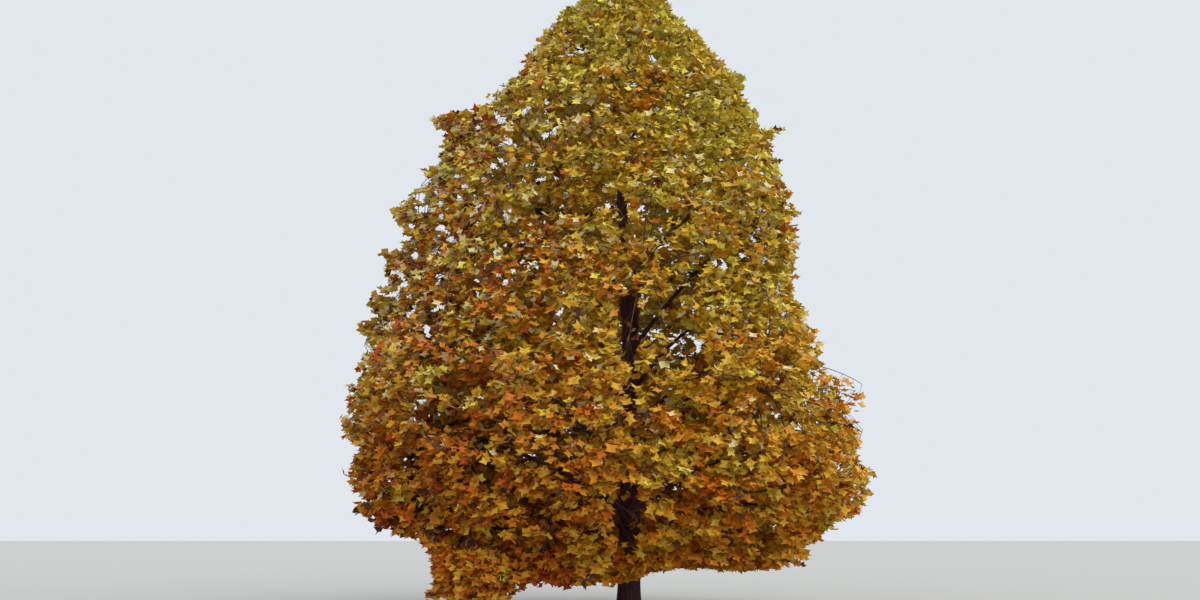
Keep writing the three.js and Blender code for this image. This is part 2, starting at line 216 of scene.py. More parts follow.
def trunk_radius(z):
    return lerp([TRUNK_TIP_RADIUS, TRUNK_FOOT_RADIUS], np.maximum(1 - z / TRUNK_TOP, 0) ** TRUNK_TAPER)


def on_curve(start, bend, end, t):
    """Points at the shares t of quadratic Bezier curves."""
    return (1 - t) ** 2 * start + 2 * t * (1 - t) * bend + t**2 * end


class Limb:
    """One limb: its curve from the trunk's axis to its tip, and where on it bough gives way to stem."""

    def __init__(self, foot, bend, tip, stem_from, foot_radius, leaves_trunk_at):
        self.points = np.array([foot, bend, tip])
        self.stem_from = stem_from
        self.foot_radius = foot_radius
        self.leaves_trunk_at = leaves_trunk_at
        self.clear_from = max(leaves_trunk_at - stem_from, 0) / (1 - stem_from)

    def at(self, t):
        return on_curve(*self.points, np.asarray(t, float)[..., None])

    def radius(self, t):
        collar = 1 + COLLAR * np.exp(-np.maximum(t - self.leaves_trunk_at, 0) / COLLAR_LENGTH)
        return lerp([self.foot_radius * collar, STEM_TIP_RADIUS], t)


def grow_limb(i):
    azimuth = FIRST_AZIMUTH + i * GOLDEN_TURN
    tip_height = float(height_at_share((i + 0.5) / LIMBS, *TIP_HEIGHTS))
    reach = float(crown_radius(tip_height, azimuth)) - TIP_INSET
    up = (tip_height - TIP_HEIGHTS[0]) / (TIP_HEIGHTS[1] - TIP_HEIGHTS[0])
    foot_rise = reach / 2 * math.tan(lerp(FOOT_RISE, up**FOOT_RISE_POWER))
    tip_rise = reach / 2 * math.tan(lerp(TIP_RISE, up**TIP_RISE_POWER))
    foot = trunk_centre(tip_height - foot_rise - tip_rise)
    out = outward(np.array(azimuth))
    bend = foot + out * reach / 2 + [0, 0, foot_rise]
    tip = out * reach + [0, 0, tip_height]
    stem_from = BOUGH_SHARE if i < len(BOUGHS) else 0
    return Limb(foot, bend, tip, stem_from, lerp(FOOT_RADIUS, up), float(trunk_radius(foot[2])) / reach)


leader_tip = trunk_centre(TRUNK_TOP)
top_stem_tip = np.array([*leader_tip[:2], TOP_STEM_TIP])
limbs = [grow_limb(i) for i in range(LIMBS)]
top_stem_middle = (leader_tip + top_stem_tip) / 2
limbs.append(Limb(leader_tip, top_stem_middle, top_stem_tip, 0, TRUNK_TIP_RADIUS / (1 + COLLAR), 0))
longest = max(np.hypot(*limb.points[2][:2]) for limb in limbs)
print(f"{len(limbs)} limbs, the lowest from {limbs[0].points[0][2]:.2f} m, the longest {longest:.2f} m out")

# %% [markdown]
# ## Tubes from arrays
#
# Trunk, boughs and twigs are all tubes round a line. Blender could bevel a curve object for each, but there
# are some thirty thousand twigs and shoots, and one joined mesh is far lighter. So the lines are rows of one
# array, and a helper lays rings of corners round all of them at once. Another hands the arrays to Blender as
# a mesh.

# %% Tubes from arrays
BARK_SLOT = "bark"
STEEP = 0.9


def between_rings(index):
    """The corners here, beside, above and across of each panel between rings whose corners index numbers."""
    turned = np.roll(index, -1, axis=-1)
    return index[..., :-1, :], turned[..., :-1, :], index[..., 1:, :], turned[..., 1:, :]


def tubes(lines, radii, sides):
    """Corners and triangles of tubes round lines (tube, ring, xyz), each ring with its own radius."""
    along = unit(np.gradient(lines, axis=1))
    steep = np.abs(along[:, :1, 2:]) > STEEP
    aside = unit(np.cross(along, np.where(steep, [1.0, 0.0, 0.0], [0.0, 0.0, 1.0])))
    over = np.cross(aside, along)
    turns = np.arange(sides) * 2 * math.pi / sides
    ring = aside[:, :, None] * np.cos(turns)[:, None] + over[:, :, None] * np.sin(turns)[:, None]
    corners = lines[:, :, None] + ring * np.asarray(radii)[..., None, None]
    count, rings = lines.shape[:2]
    index = np.arange(count * rings * sides).reshape(count, rings, sides)
    here, beside, above, across = between_rings(index)
    triangles = np.concatenate([np.stack([here, above, beside], -1).reshape(-1, 3),
                                np.stack([beside, above, across], -1).reshape(-1, 3)])
    return corners.reshape(-1, 3), triangles


def join(parts):
    """One pair of corners and triangles from several."""
    offset, corners, triangles = 0, [], []
    for part_corners, part_triangles in parts:
        corners.append(part_corners)
        triangles.append(part_triangles + offset)
        offset += len(part_corners)
    return np.concatenate(corners), np.concatenate(triangles)


def make_piece(name, corners, triangles, material, slot, nodes, is_smooth=False, coordinates=None):
    """A joined mesh as one piece of the tree, with flat coordinates for its triangles' corners if given."""
    mesh = bpy.data.meshes.new(name)
    mesh.vertices.add(len(corners))
    mesh.vertices.foreach_set("co", corners.astype(np.float32).ravel())
    mesh.loops.add(triangles.size)
    mesh.loops.foreach_set("vertex_index", triangles.astype(np.int32).ravel())
    mesh.polygons.add(len(triangles))
    mesh.polygons.foreach_set("loop_start", np.arange(0, triangles.size, 3, dtype=np.int32))
    mesh.polygons.foreach_set("use_smooth", np.full(len(triangles), is_smooth))
    if coordinates is not None:
        layer = mesh.uv_layers.new(name="blade")
        layer.uv.foreach_set("vector", coordinates.astype(np.float32).ravel())
    mesh.update(calc_edges=True)
    mesh.materials.append(material)
    piece = add_object(name, mesh)
    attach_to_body(piece, BODY)
    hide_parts(*nodes)
    print(f"{name}: {len(triangles)} triangles")


# %% [markdown]
# ## Shader expressions
#
# A procedural finish is arithmetic on patterns, and arithmetic reads best as arithmetic. This class wraps one
# socket, so that `1 - cracks * 0.4` adds its Math nodes by itself. Every other node comes from `Finish.add`,
# which takes the node's type, its settings and its inputs, and hands its output back as such a value.

# %% Shader expressions
class Value:
    """An output socket whose operators add Math nodes."""

    def __init__(self, finish, socket):
        self.finish, self.socket = finish, socket

    def math(self, operation, first, second):
        return self.finish.add("Math", {"operation": operation}, {0: first, 1: second})

    def __add__(self, other):
        return self.math("ADD", self, other)

    def __radd__(self, other):
        return self.math("ADD", other, self)

    def __sub__(self, other):
        return self.math("SUBTRACT", self, other)

    def __rsub__(self, other):
        return self.math("SUBTRACT", other, self)

    def __mul__(self, other):
        return self.math("MULTIPLY", self, other)

    def __rmul__(self, other):
        return self.math("MULTIPLY", other, self)

    def __abs__(self):
        return self.finish.add("Math", {"operation": "ABSOLUTE"}, {0: self})


class Finish:
    """A material whose nodes are made by one method."""

    def __init__(self, name, **plain):
        self.material = bpy.data.materials.new(name)
        self.material.use_nodes = True
        self.nodes, self.links = self.material.node_tree.nodes, self.material.node_tree.links
        self.shader = self.nodes["Principled BSDF"]
        for socket, value in plain.items():
            self.set(socket.replace("_", " "), value)

    def set(self, socket, value):
        self.plug(self.shader.inputs[socket], value)

    def plug(self, socket, value):
        if isinstance(value, Value):
            self.links.new(value.socket, socket)
        else:
            socket.default_value = value

    def add(self, kind, settings, inputs, output=0):
        node = self.nodes.new("ShaderNode" + kind)
        for name, setting in settings.items():
            if name == "stops":  # a new ramp has two of them
                for stop, (place, colour) in zip(node.color_ramp.elements, setting):
                    stop.position, stop.color = place, colour
            else:
                setattr(node, name, setting)
        for name, value in inputs.items():
            self.plug(node.inputs[name], value)
        return Value(self, node.outputs[output])

    def mix(self, share, low, high):
        """Two colours mixed by a share."""
        return self.add("Mix", {"data_type": "RGBA"}, {"Factor": share, 6: low, 7: high}, 2)

    def bump(self, height, distance, strength):
        inputs = {"Height": height, "Distance": distance, "Strength": strength}
        self.set("Normal", self.add("Bump", {}, inputs))


def srgb(red, green, blue):
    """A colour as its eye-side numbers from 0 to 255, turned into the linear light that a shader takes."""
    shares = np.array([red, green, blue]) / 255
    linear = np.where(shares <= 0.04045, shares / 12.92, ((shares + 0.055) / 1.055) ** 2.4)
    return (*linear.tolist(), 1.0)


# %% [markdown]
# ## Bark
#
# A young tulip tree's bark is dark grey-brown with a purple cast. It splits into long upright ridges that
# part and meet again round narrow furrows, and old dust and lichen lie pale on the ridges. The big ridges are
# in the mesh, because they show along the trunk's edge. This finish adds what is too fine for corners:
# stretched noise for the fibres, darker furrows, pale lichen, painted shade that darkens the foot, and a
# rough surface that is a little smoother on the ridges.

# %% Bark
BARK_DARK = srgb(106, 70, 78)
BARK_PALE = srgb(172, 134, 138)
# painted shade: the dark colour that the bark at the trunk's foot is blended to, as if the crown shaded it
BARK_FOOT_SHADE = srgb(32, 18, 22)
LICHEN = srgb(150, 145, 136)
FOOT_SHADE_HEIGHT = 1.9


def bark_finish(name, grain, lichen_share):
    """Bark whose grain runs along Z, with `grain` ridges to the metre."""
    finish = Finish(name, Specular_IOR_Level=0.25)
    place = finish.add("TexCoord", {}, {}, "Object")
    upright = finish.add("VectorMath", {"operation": "MULTIPLY"}, {0: place, 1: (1.0, 1.0, 0.16)})
    ridges = finish.add("TexNoise", {"noise_type": "RIDGED_MULTIFRACTAL"},
                        {"Vector": upright, "Scale": grain, "Detail": 4.0, "Roughness": 0.6})
    fibres = finish.add("TexNoise", {}, {"Vector": upright, "Scale": grain * 5.0, "Detail": 3.0})
    blotches = finish.add("TexNoise", {}, {"Vector": place, "Scale": 3.1, "Detail": 5.0})
    height = ridges * 0.7 + fibres * 0.3
    shade = finish.add("ValToRGB", {"stops": [(0.25, BARK_DARK), (0.85, BARK_PALE)]}, {"Fac": height})
    patches = finish.add("MapRange", {}, {"Value": blotches, "From Min": 0.62, "From Max": 0.72,
                                          "To Max": lichen_share})
    up = finish.add("SeparateXYZ", {}, {"Vector": place}, "Z")
    # painted shade: below 1.9 m the bark is blended ever darker towards the foot
    foot_shade = finish.add("MapRange", {}, {"Value": up, "From Max": FOOT_SHADE_HEIGHT, "To Min": 0.8, "To Max": 0.0})
    finish.set("Base Color", finish.mix(foot_shade, finish.mix(patches * height, shade, LICHEN), BARK_FOOT_SHADE))
    finish.set("Roughness", 0.95 - height * 0.2)
    finish.bump(height, 0.004, 0.8)
    return finish.material


trunk_bark = bark_finish("trunk_bark", 26.0, 0.7)
bough_bark = bark_finish("bough_bark", 44.0, 0.35)
print("bark finishes:", trunk_bark.name, bough_bark.name)

# %% [markdown]
# ## The trunk
#
# The trunk could be a smooth tube with only a bump map, but its edge would then be ruled like a pipe. Here
# the ridges are moved corners: two families of slightly slanting waves cross each other, and the sharp
# creases where they meet are the furrows. At the foot the trunk flares into five low ribs where the roots
# begin, cut flat at the ground. Each corner lies at or inside the solid trunk's surface.

# %% The trunk
FLARE = 0.085
FLARE_HEIGHT = 0.21
ROOT_RIBS = 5
RIB_DEPTH = 0.03
TRUNK_SIDES = 96
TRUNK_RINGS = 210
RING_CROWDING = 1.15
RIDGES_ROUND = 19
RIDGE_DEPTH = 0.011
RIDGE_HOLD = 1.3
RIDGE_TWIST = 2.3


def ridge_pattern(turn, z, ridges):
    """Furrowed bark from 0 in a furrow to 1 on a ridge: slanting waves that cross and part again."""
    wander = 0.9 * np.sin(2.1 * z + 3 * np.sin(turn)) + 0.5 * np.sin(5.7 * z + 2 * turn + 1)
    right = np.abs(np.sin(ridges * turn / 2 + RIDGE_TWIST * z + wander))
    left = np.abs(np.sin(ridges * turn / 2 - RIDGE_TWIST * z - 0.8 * wander + 1.3))
    cracks = np.abs(np.sin(9.5 * z + 4 * np.sin(2 * turn + z) + 2 * np.sin(5 * turn)))
    return np.minimum(right, left) ** 0.6 * (0.8 + 0.2 * np.minimum(cracks * 3, 1))


def trunk_mesh():
    """Corners and triangles of the trunk, with its ridges, its root ribs and both ends closed."""
    share = np.linspace(0, 1, TRUNK_RINGS)
    z = (TRUNK_TOP * share**RING_CROWDING)[:, None]
    turn = (np.arange(TRUNK_SIDES) * 2 * math.pi / TRUNK_SIDES)[None, :]
    flare = (FLARE + RIB_DEPTH * np.cos(ROOT_RIBS * turn)) * np.exp(-z / FLARE_HEIGHT)
    radius = trunk_radius(z)
    depth = RIDGE_DEPTH * np.minimum(radius / TRUNK_FOOT_RADIUS * RIDGE_HOLD, 1)
    relief = depth * (ridge_pattern(turn, z, RIDGES_ROUND) - 1)
    corners = trunk_centre(z) + outward(turn + 0 * z) * (radius + flare + relief)[..., None]
    index = np.arange(TRUNK_RINGS * TRUNK_SIDES).reshape(TRUNK_RINGS, TRUNK_SIDES)
    here, beside, above, across = between_rings(index)
    foot, top = index[0], index[-1]
    foot_middle, top_middle = index.size, index.size + 1
    triangles = [np.stack([here, beside, across], -1), np.stack([here, across, above], -1),
                 np.stack([np.roll(foot, -1), foot, np.full_like(foot, foot_middle)], -1),
                 np.stack([top, np.roll(top, -1), np.full_like(top, top_middle)], -1)]
    corners = np.concatenate([corners.reshape(-1, 3), trunk_centre(np.array([0, TRUNK_TOP]))])
    return corners, np.concatenate([part.reshape(-1, 3) for part in triangles])


make_piece("trunk_with_bark", *trunk_mesh(), trunk_bark, BARK_SLOT, ["trunk"], is_smooth=True)

# %% [markdown]
# ## The boughs
#
# A bough's bark is smoother than the trunk's, with finer furrows that run along it, and a collar of swollen
# wood where it leaves the trunk. Each bough is a tube on the inner half of its limb's curve. Its rings are
# close, so that the furrows and a slight lumpiness from old twig scars are in the mesh too.

# %% The boughs
BOUGH_SIDES = 16
BOUGH_RINGS = 56
BOUGH_RELIEF = 0.06
BOUGH_RIDGES = 9
BOUGH_RIDGE_CLIMB = 1.7
FOOT_IN_TRUNK = 0.5


def bough_mesh(limb, seed):
    """Corners and triangles of a limb's bough, with furrows that the seed shifts along it."""
    t = np.linspace(limb.leaves_trunk_at * FOOT_IN_TRUNK, limb.stem_from, BOUGH_RINGS)
    corners, triangles = tubes(limb.at(t)[None], limb.radius(t)[None], BOUGH_SIDES)
    centre = np.repeat(limb.at(t), BOUGH_SIDES, axis=0)
    turn = np.tile(np.arange(BOUGH_SIDES) * 2 * math.pi / BOUGH_SIDES, BOUGH_RINGS)
    along = np.repeat(t, BOUGH_SIDES) * np.linalg.norm(limb.points[2] - limb.points[0])
    furrows = ridge_pattern(turn, BOUGH_RIDGE_CLIMB * along + seed, BOUGH_RIDGES) - 0.5
    scars = np.sin(11 * along + seed) * np.sin(17 * along + 2 * turn)
    return centre + (corners - centre) * (1 + BOUGH_RELIEF * (furrows + 0.5 * scars))[:, None], triangles


boughs = join([bough_mesh(limb, i) for i, limb in enumerate(limbs) if limb.stem_from])
make_piece("boughs_with_bark", *boughs, bough_bark, BARK_SLOT, BOUGHS, is_smooth=True)

# %% [markdown]
# ## Places for the main twigs
#
# Leaves need light, so a tree sends twigs to wherever its surface still has room. The rule is the solids'
# own: places are spread evenly over the crown's surface, a golden turn apart, at uneven depths, and each
# belongs to the mass whose stem is nearest. Its twig leaves that stem a little back from the nearest point,
# because twigs grow forward. The random numbers come from the same small seeded stream, so the twigs here are
# the same ones.

# %% Places for the main twigs
SEED = 7130
PLACES = 350
PLACE_HEIGHTS = [0.9, 12.6]
PLACE_INSET = 0.04
PLACE_DEPTH = 0.28
STEM_STEPS = 3
TWIG_BACK = 0.35
TWIG_ZONE = [0.05, 0.96]
WORD = 2**32


def seeded(seed):
    """A repeatable stream of numbers from 0 to 1, the same as the solids use."""
    state = seed
    while True:
        state = (state + 0x6D2B79F5) % WORD
        mixed = (state ^ (state >> 15)) * (state | 1) % WORD
        mixed ^= (mixed + (mixed ^ (mixed >> 7)) * (mixed | 61)) % WORD
        yield (mixed ^ (mixed >> 14)) / WORD


def nearest_on_line(point, line):
    """The distance from a point to a line of straight chords, and how far along it the nearest place is."""
    start, chord = line[:-1], np.diff(line, axis=0)
    part = np.clip(np.einsum("ij,ij->i", point - start, chord) / np.einsum("ij,ij->i", chord, chord), 0, 1)
    distance = np.linalg.norm(start + chord * part[:, None] - point, axis=1)
    nearest = int(np.argmin(distance))
    return float(distance[nearest]), (nearest + float(part[nearest])) / len(chord)


def main_places():
    """The places that main twigs reach, and the depth of each below the crown's surface."""
    share = (np.arange(PLACES) + 0.5) / PLACES
    height = height_at_share(share, *PLACE_HEIGHTS)
    azimuth = np.arange(PLACES) * GOLDEN_TURN
    stream = seeded(SEED)
    depth = PLACE_INSET + PLACE_DEPTH * np.array([next(stream) for _ in range(PLACES)])
    reach = np.maximum(crown_radius(height, azimuth) - depth, PLACE_INSET / 2)
    return placed(azimuth, reach, height), depth


def twig_root(point):
    """The limb that a place belongs to, and the share of its curve where the place's twig begins."""
    chords = [limb.at(np.linspace(limb.stem_from, 1, STEM_STEPS + 1)) for limb in limbs]
    found = [nearest_on_line(point, line) for line in chords]
    own = int(np.argmin([distance for distance, _ in found]))
    distance, along = found[own]
    length = np.linalg.norm(chords[own][-1] - chords[own][0])
    share = np.clip(along - TWIG_BACK * distance / length, limbs[own].clear_from + TWIG_ZONE[0], TWIG_ZONE[1])
    return own, lerp([limbs[own].stem_from, 1], share)


places, place_depths = main_places()
roots = [twig_root(point) for point in places]
print(f"{PLACES} places, {min(places[:, 2]):.2f} m to {max(places[:, 2]):.2f} m high")

# %% [markdown]
# ## Stems and main twigs
#
# The stems carry on along their boughs' curves. A main twig starts along its stem, then turns to its place,
# and its last part lifts a little towards the light in the upper crown and sags at the bottom, where leaves
# weigh it down. Again a Bezier curve per twig does it, now all 350 in one array.

# %% Stems and main twigs
STEM_RINGS = 26
STEM_THINNING = 0.75
STEM_THINNING_POWER = 6
TWIG_RINGS = 9
TWIG_FORWARD = 0.3
TWIG_LIFT = [-0.02, 0.12]
AHEAD_STEP = 0.02


def bezier(start, middle, end, rings, drawn=1.0):
    """Lines (curve, ring, xyz) of many quadratic curves at once, each drawn up to a share of its own."""
    t = (np.linspace(0, 1, rings) * np.reshape(drawn, (-1, 1)))[..., None]
    return on_curve(start[:, None], middle[:, None], end[:, None], t)


stem_shares = [np.linspace(limb.stem_from, 1, STEM_RINGS) for limb in limbs]
stem_lines = np.stack([limb.at(t) for limb, t in zip(limbs, stem_shares)])
up_stem = [(t - limb.stem_from) / (1 - limb.stem_from) for limb, t in zip(limbs, stem_shares)]
stem_radii = np.stack([limb.radius(t) * (1 - STEM_THINNING * up**STEM_THINNING_POWER)
                       for limb, t, up in zip(limbs, stem_shares, up_stem)])

twig_starts = np.stack([limbs[own].at(t) for own, t in roots])
ahead = unit(np.stack([limbs[own].at(min(t + AHEAD_STEP, 1)) - limbs[own].at(t - AHEAD_STEP)
                       for own, t in roots]))
span = np.linalg.norm(places - twig_starts, axis=1)[:, None]
lift = lerp(TWIG_LIFT, np.clip(places[:, 2:] / TRUNK_TOP, 0, 1))
twig_bends = (twig_starts + places) / 2 + ahead * span * TWIG_FORWARD - span * lift * [0, 0, 1]
twig_lines = bezier(twig_starts, twig_bends, places, TWIG_RINGS)
print(f"main twigs {span.min():.2f} m to {span.max():.2f} m long, {span.mean():.2f} m on average")

# %% [markdown]
# ## Places for the fine twigs
#
# The same rule again, one size finer: 5,300 places, spread evenly over the crown at depths of their own, and
# for each a fine twig from the nearest stem or main twig, set back a little. Where the light is, near the
# surface, lie most places at the top and half of them low down. The others lie deeper, so that the crown
# isn't an empty shell. Its surface is uneven: a fine place takes its depth from the nearest main place's, it
# lies deeper where two limbs' foliage meets, and a few twigs stand out of the rest, which gives the lumps,
# bays and sprigs that a real crown's edge has. A short table adds the sprays that hang below the crown and
# stand out at its left, each with its middle, its half sizes and its number of twigs.

# %% Places for the fine twigs
rng = np.random.default_rng(SEED)
FINE_PLACES = 5300
FINE_HEIGHTS = [0.72, 12.5]
FINE_FIRST_AZIMUTH = 1.0
FINE_SPREAD = 0.3
LUMP_SHARE = 1.2
BAY_DEPTH = 0.18
BAY_SHARPNESS = 2.5
SPRIG_EVERY = 7
SPRIG_LENGTH = 0.34
DEEP_SHARE = [0.55, 0.1]
DEEP_RANGE = [0.5, 1.8]
LEAST_REACH = 0.25
HANGING = [
    ((-2.56, -2.45, 0.8), (0.62, 0.5, 0.3), 90), ((-0.9, -2.2, 0.95), (0.9, 0.5, 0.2), 22),
    ((0.1, -2.4, 1.0), (0.45, 0.4, 0.15), 14), ((1.9, -1.6, 1.15), (0.9, 0.6, 0.2), 16),
    ((-4.2, -0.4, 1.75), (0.45, 0.5, 0.2), 16), ((-3.38, -0.2, 9.3), (0.32, 0.35, 0.14), 14),
    ((-4.2, -0.2, 6.35), (0.2, 0.3, 0.1), 10), ((-4.45, -0.25, 5.5), (0.18, 0.3, 0.12), 10),
    ((-4.55, -0.2, 4.95), (0.15, 0.3, 0.1), 8), ((-4.1, -0.2, 7.2), (0.15, 0.3, 0.1), 6),
]
HANGING_TWIGS = sum(count for _, _, count in HANGING)


def search_tree(points):
    """A tree that finds the nearest of some points."""
    tree = KDTree(len(points))
    for i, point in enumerate(points):
        tree.insert(point, i)
    tree.balance()
    return tree


def bays(points):
    """From 0 inside a limb's own foliage to 1 where it meets the next limb's."""
    gaps = [np.linalg.norm(points[:, None] - line[None], axis=2).min(1) for line in stem_lines]
    nearest, second = np.sort(np.stack(gaps), axis=0)[:2]
    return (nearest / second) ** BAY_SHARPNESS


def fine_places():
    """The places that fine twigs reach, the hanging sprays' last."""
    share = (np.arange(FINE_PLACES) + 0.5) / FINE_PLACES
    height = height_at_share(share, *FINE_HEIGHTS)
    azimuth = np.arange(FINE_PLACES) * GOLDEN_TURN + FINE_FIRST_AZIMUTH
    radius = crown_radius(height, azimuth)
    surface = placed(azimuth, radius, height)
    tree = search_tree(places)
    lump = np.array([place_depths[tree.find(point)[1]] - PLACE_INSET for point in surface])
    depth = LUMP_SHARE * lump + FINE_SPREAD * rng.random(FINE_PLACES) ** 2
    depth += BAY_DEPTH * bays(surface) * radius
    depth[::SPRIG_EVERY] -= SPRIG_LENGTH * rng.random(len(depth[::SPRIG_EVERY]))
    deep = rng.random(FINE_PLACES) < lerp(DEEP_SHARE, np.clip(height / TRUNK_TOP, 0, 1))
    depth[deep] += lerp(DEEP_RANGE, rng.random(deep.sum()))
    grown = placed(azimuth, radius - depth, height)[radius - depth > LEAST_REACH]
    hanging = [np.array(centre) + (2 * rng.random((count, 3)) - 1) * size for centre, size, count in HANGING]
    return np.concatenate([grown, *hanging])


fine_tips = fine_places()
print(f"{len(fine_tips)} places for fine twigs")

# %% [markdown]
# ## Fine twigs
#
# A fine twig leaves the wood that is nearest to its place, be it a stem or a main twig, and a little further
# back than the nearest point, because twigs grow forward. To measure every place against every curve would be
# slow, so the curves are cut into short steps, and a search tree finds the nearest step. Which curve it is,
# and how far along, is kept: later the tints follow the branches, and a main twig ends at its last fork.

# %% Fine twigs
FINE_FORWARD = 0.35
FIRST_FORK = 0.2
SAMPLES_PER_RING = 4


def attach(points):
    """The starts of the points' twigs on the nearest stems or main twigs, and those lines' directions there,
    numbers, and shares of their length at which the twigs leave them."""
    lines = [*stem_lines, *(line[int(FIRST_FORK * TWIG_RINGS):] for line in twig_lines)]
    samples, line_of, place_of = [], [], []
    for number, line in enumerate(lines):
        count = SAMPLES_PER_RING * len(line)
        steps = np.linspace(0, len(line) - 1, count)
        samples.append(np.stack([np.interp(steps, np.arange(len(line)), axis) for axis in line.T], -1))
        line_of += [number] * count
        place_of += range(count)
    tree = search_tree(np.concatenate(samples))
    starts, ways, owners, shares = [], [], [], []
    for point in points:
        _, i, distance = tree.find(point)
        line, at = samples[line_of[i]], place_of[i]
        step = np.linalg.norm(line[1] - line[0])
        at = max(at - int(TWIG_BACK * distance / step), 0)
        starts.append(line[at])
        ways.append(line[min(at + 1, len(line) - 1)] - line[max(at - 1, 0)])
        owners.append(line_of[i])
        shares.append(at / (len(line) - 1))
    return np.array(starts), unit(np.array(ways)), np.array(owners), np.array(shares)


fine_starts, fine_ahead, fine_branch, fine_forks = attach(fine_tips)
fine_span = np.linalg.norm(fine_tips - fine_starts, axis=1)[:, None]
fine_bends = (fine_starts + fine_tips) / 2 + fine_ahead * fine_span * FINE_FORWARD
print(f"{len(fine_tips)} fine twigs, {fine_span.mean():.2f} m long on average, {fine_span.max():.2f} at most")

# %% [markdown]
# ## Shoots
#
# A fine twig carries this year's shoots, again a golden turn apart round it, and shorter towards its tip.
# Shoots in random directions would be simpler, but some would lie on each other and leave bare wood
# elsewhere. They spread flat rather than up and down, so that their leaves lie in loose layers, which is what
# gives the crown its level bands of light and dark.

# %% Shoots
SHOOT_STEP = 0.095
SHOOT_COUNTS = [3, 9]
SHOOT_ZONE = [0.22, 1.0]
SHOOT_JITTER = 0.9
SHOOT_ANGLE = math.radians(52)
SHOOT_LENGTHS = [0.1, 0.26]
SHOOT_GAIN = 1.15
SHOOT_SHORTENING = 0.5
SHOOT_FLAT = 0.65


def grow_shoots():
    """All shoots' feet and tips, their fine twigs' numbers, and how far along those they start."""
    counts = (fine_span[:, 0] * (SHOOT_ZONE[1] - SHOOT_ZONE[0]) / SHOOT_STEP).astype(int) + 1
    counts = np.clip(counts, *SHOOT_COUNTS)
    owner = np.repeat(np.arange(len(counts)), counts)
    order = np.arange(len(owner)) - np.repeat(np.cumsum(counts) - counts, counts)
    share = lerp(SHOOT_ZONE, (order + SHOOT_JITTER * rng.random(len(order))) / counts[owner])
    start, bend, end = fine_starts[owner], fine_bends[owner], fine_tips[owner]
    t = share[:, None]
    foot = on_curve(start, bend, end, t)
    along = unit((1 - t) * (bend - start) + t * (end - bend))
    level = unit(np.cross(along, [0, 0, 1]))
    upright = np.cross(level, along)
    turn = order * GOLDEN_TURN + 2 * math.pi * rng.random(len(counts))[owner]
    around = level * np.cos(turn)[:, None] + upright * np.sin(turn)[:, None] * (1 - SHOOT_FLAT)
    way = unit(along * math.cos(SHOOT_ANGLE) + unit(around) * math.sin(SHOOT_ANGLE))
    length = lerp(SHOOT_LENGTHS, rng.random(len(owner))) * (SHOOT_GAIN - SHOOT_SHORTENING * share)
    return foot, foot + way * length[:, None], owner, share


shoot_starts, shoot_tips, shoot_owner, shoot_forks = grow_shoots()
print(f"{len(shoot_owner)} shoots")

# %% [markdown]
# ## Where leaves hang
#
# A tulip tree's leaves sit alternately along a shoot, each on a long stalk, and every fine twig ends in
# leaves of its own. Points scattered over the twigs would lose that order, so a leaf's number on its shoot
# says where it sits and on which side. The stalk leaves sideways and a little outward, to the light.

# %% Where leaves hang
LEAVES_PER_SHOOT = 5
LEAVES_PER_TIP = 4
FIRST_LEAF = 0.8
STALK_LENGTHS = [0.05, 0.1]
STALK_AHEAD = 0.5
STALK_ASIDE = 0.7
STALK_OUT = 0.4
STALK_UP = 0.25
STALK_SPREAD = [0.35, 0.35, 0.15]


def leaf_nodes():
    """The leaves' places on shoots and twigs, the directions there, their fine twigs and their order."""
    share = (np.arange(LEAVES_PER_SHOOT) + FIRST_LEAF) / LEAVES_PER_SHOOT
    on_shoots = shoot_starts[:, None] + (shoot_tips - shoot_starts)[:, None] * share[None, :, None]
    ways = np.repeat(unit(shoot_tips - shoot_starts), LEAVES_PER_SHOOT, axis=0)
    tips = np.repeat(fine_tips, LEAVES_PER_TIP, axis=0)
    tip_ways = np.repeat(unit(fine_tips - fine_bends), LEAVES_PER_TIP, axis=0)
    owners = np.concatenate([np.repeat(shoot_owner, LEAVES_PER_SHOOT),
                             np.repeat(np.arange(len(fine_tips)), LEAVES_PER_TIP)])
    order = np.concatenate([np.tile(np.arange(LEAVES_PER_SHOOT), len(shoot_owner)),
                            np.tile(np.arange(LEAVES_PER_TIP), len(fine_tips))])
    return np.concatenate([on_shoots.reshape(-1, 3), tips]), np.concatenate([ways, tip_ways]), owners, order


nodes, node_ways, node_owner, node_order = leaf_nodes()
crown_out = outward(np.arctan2(nodes[:, 1], nodes[:, 0]))
aside = unit(np.cross(node_ways, [0, 0, 1])) * np.where(node_order % 2, 1, -1)[:, None]
spread = rng.normal(size=(len(nodes), 3)) * STALK_SPREAD
stalk_way = node_ways * STALK_AHEAD + aside * STALK_ASIDE + crown_out * STALK_OUT + [0, 0, STALK_UP]
stalk_way = unit(stalk_way + spread)
stalk_length = lerp(STALK_LENGTHS, rng.random(len(nodes)))
blade_feet = nodes + stalk_way * stalk_length[:, None]
print(f"{len(nodes)} places for leaves, on stalks of {stalk_length.mean():.3f} m on average")

# %% [markdown]
# ## How a blade faces
#
# At its stalk's end the blade tips over: it hangs outward and down, and its upper side faces up and out, to
# the light. Blades that all hung alike would look like shingles, so each one swings, droops and rolls by its
# own seeded amount.

# %% How a blade faces
DROOP = [math.radians(-14), math.radians(62)]
DROOP_SPREAD = (2, 2)
HANG_OUT = 0.45
SWING = [0.85, 0.85, 0]
ROLL = math.radians(24)
LEAF_LENGTHS = [0.085, 0.15]
LENGTH_SPREAD = (2, 1.6)

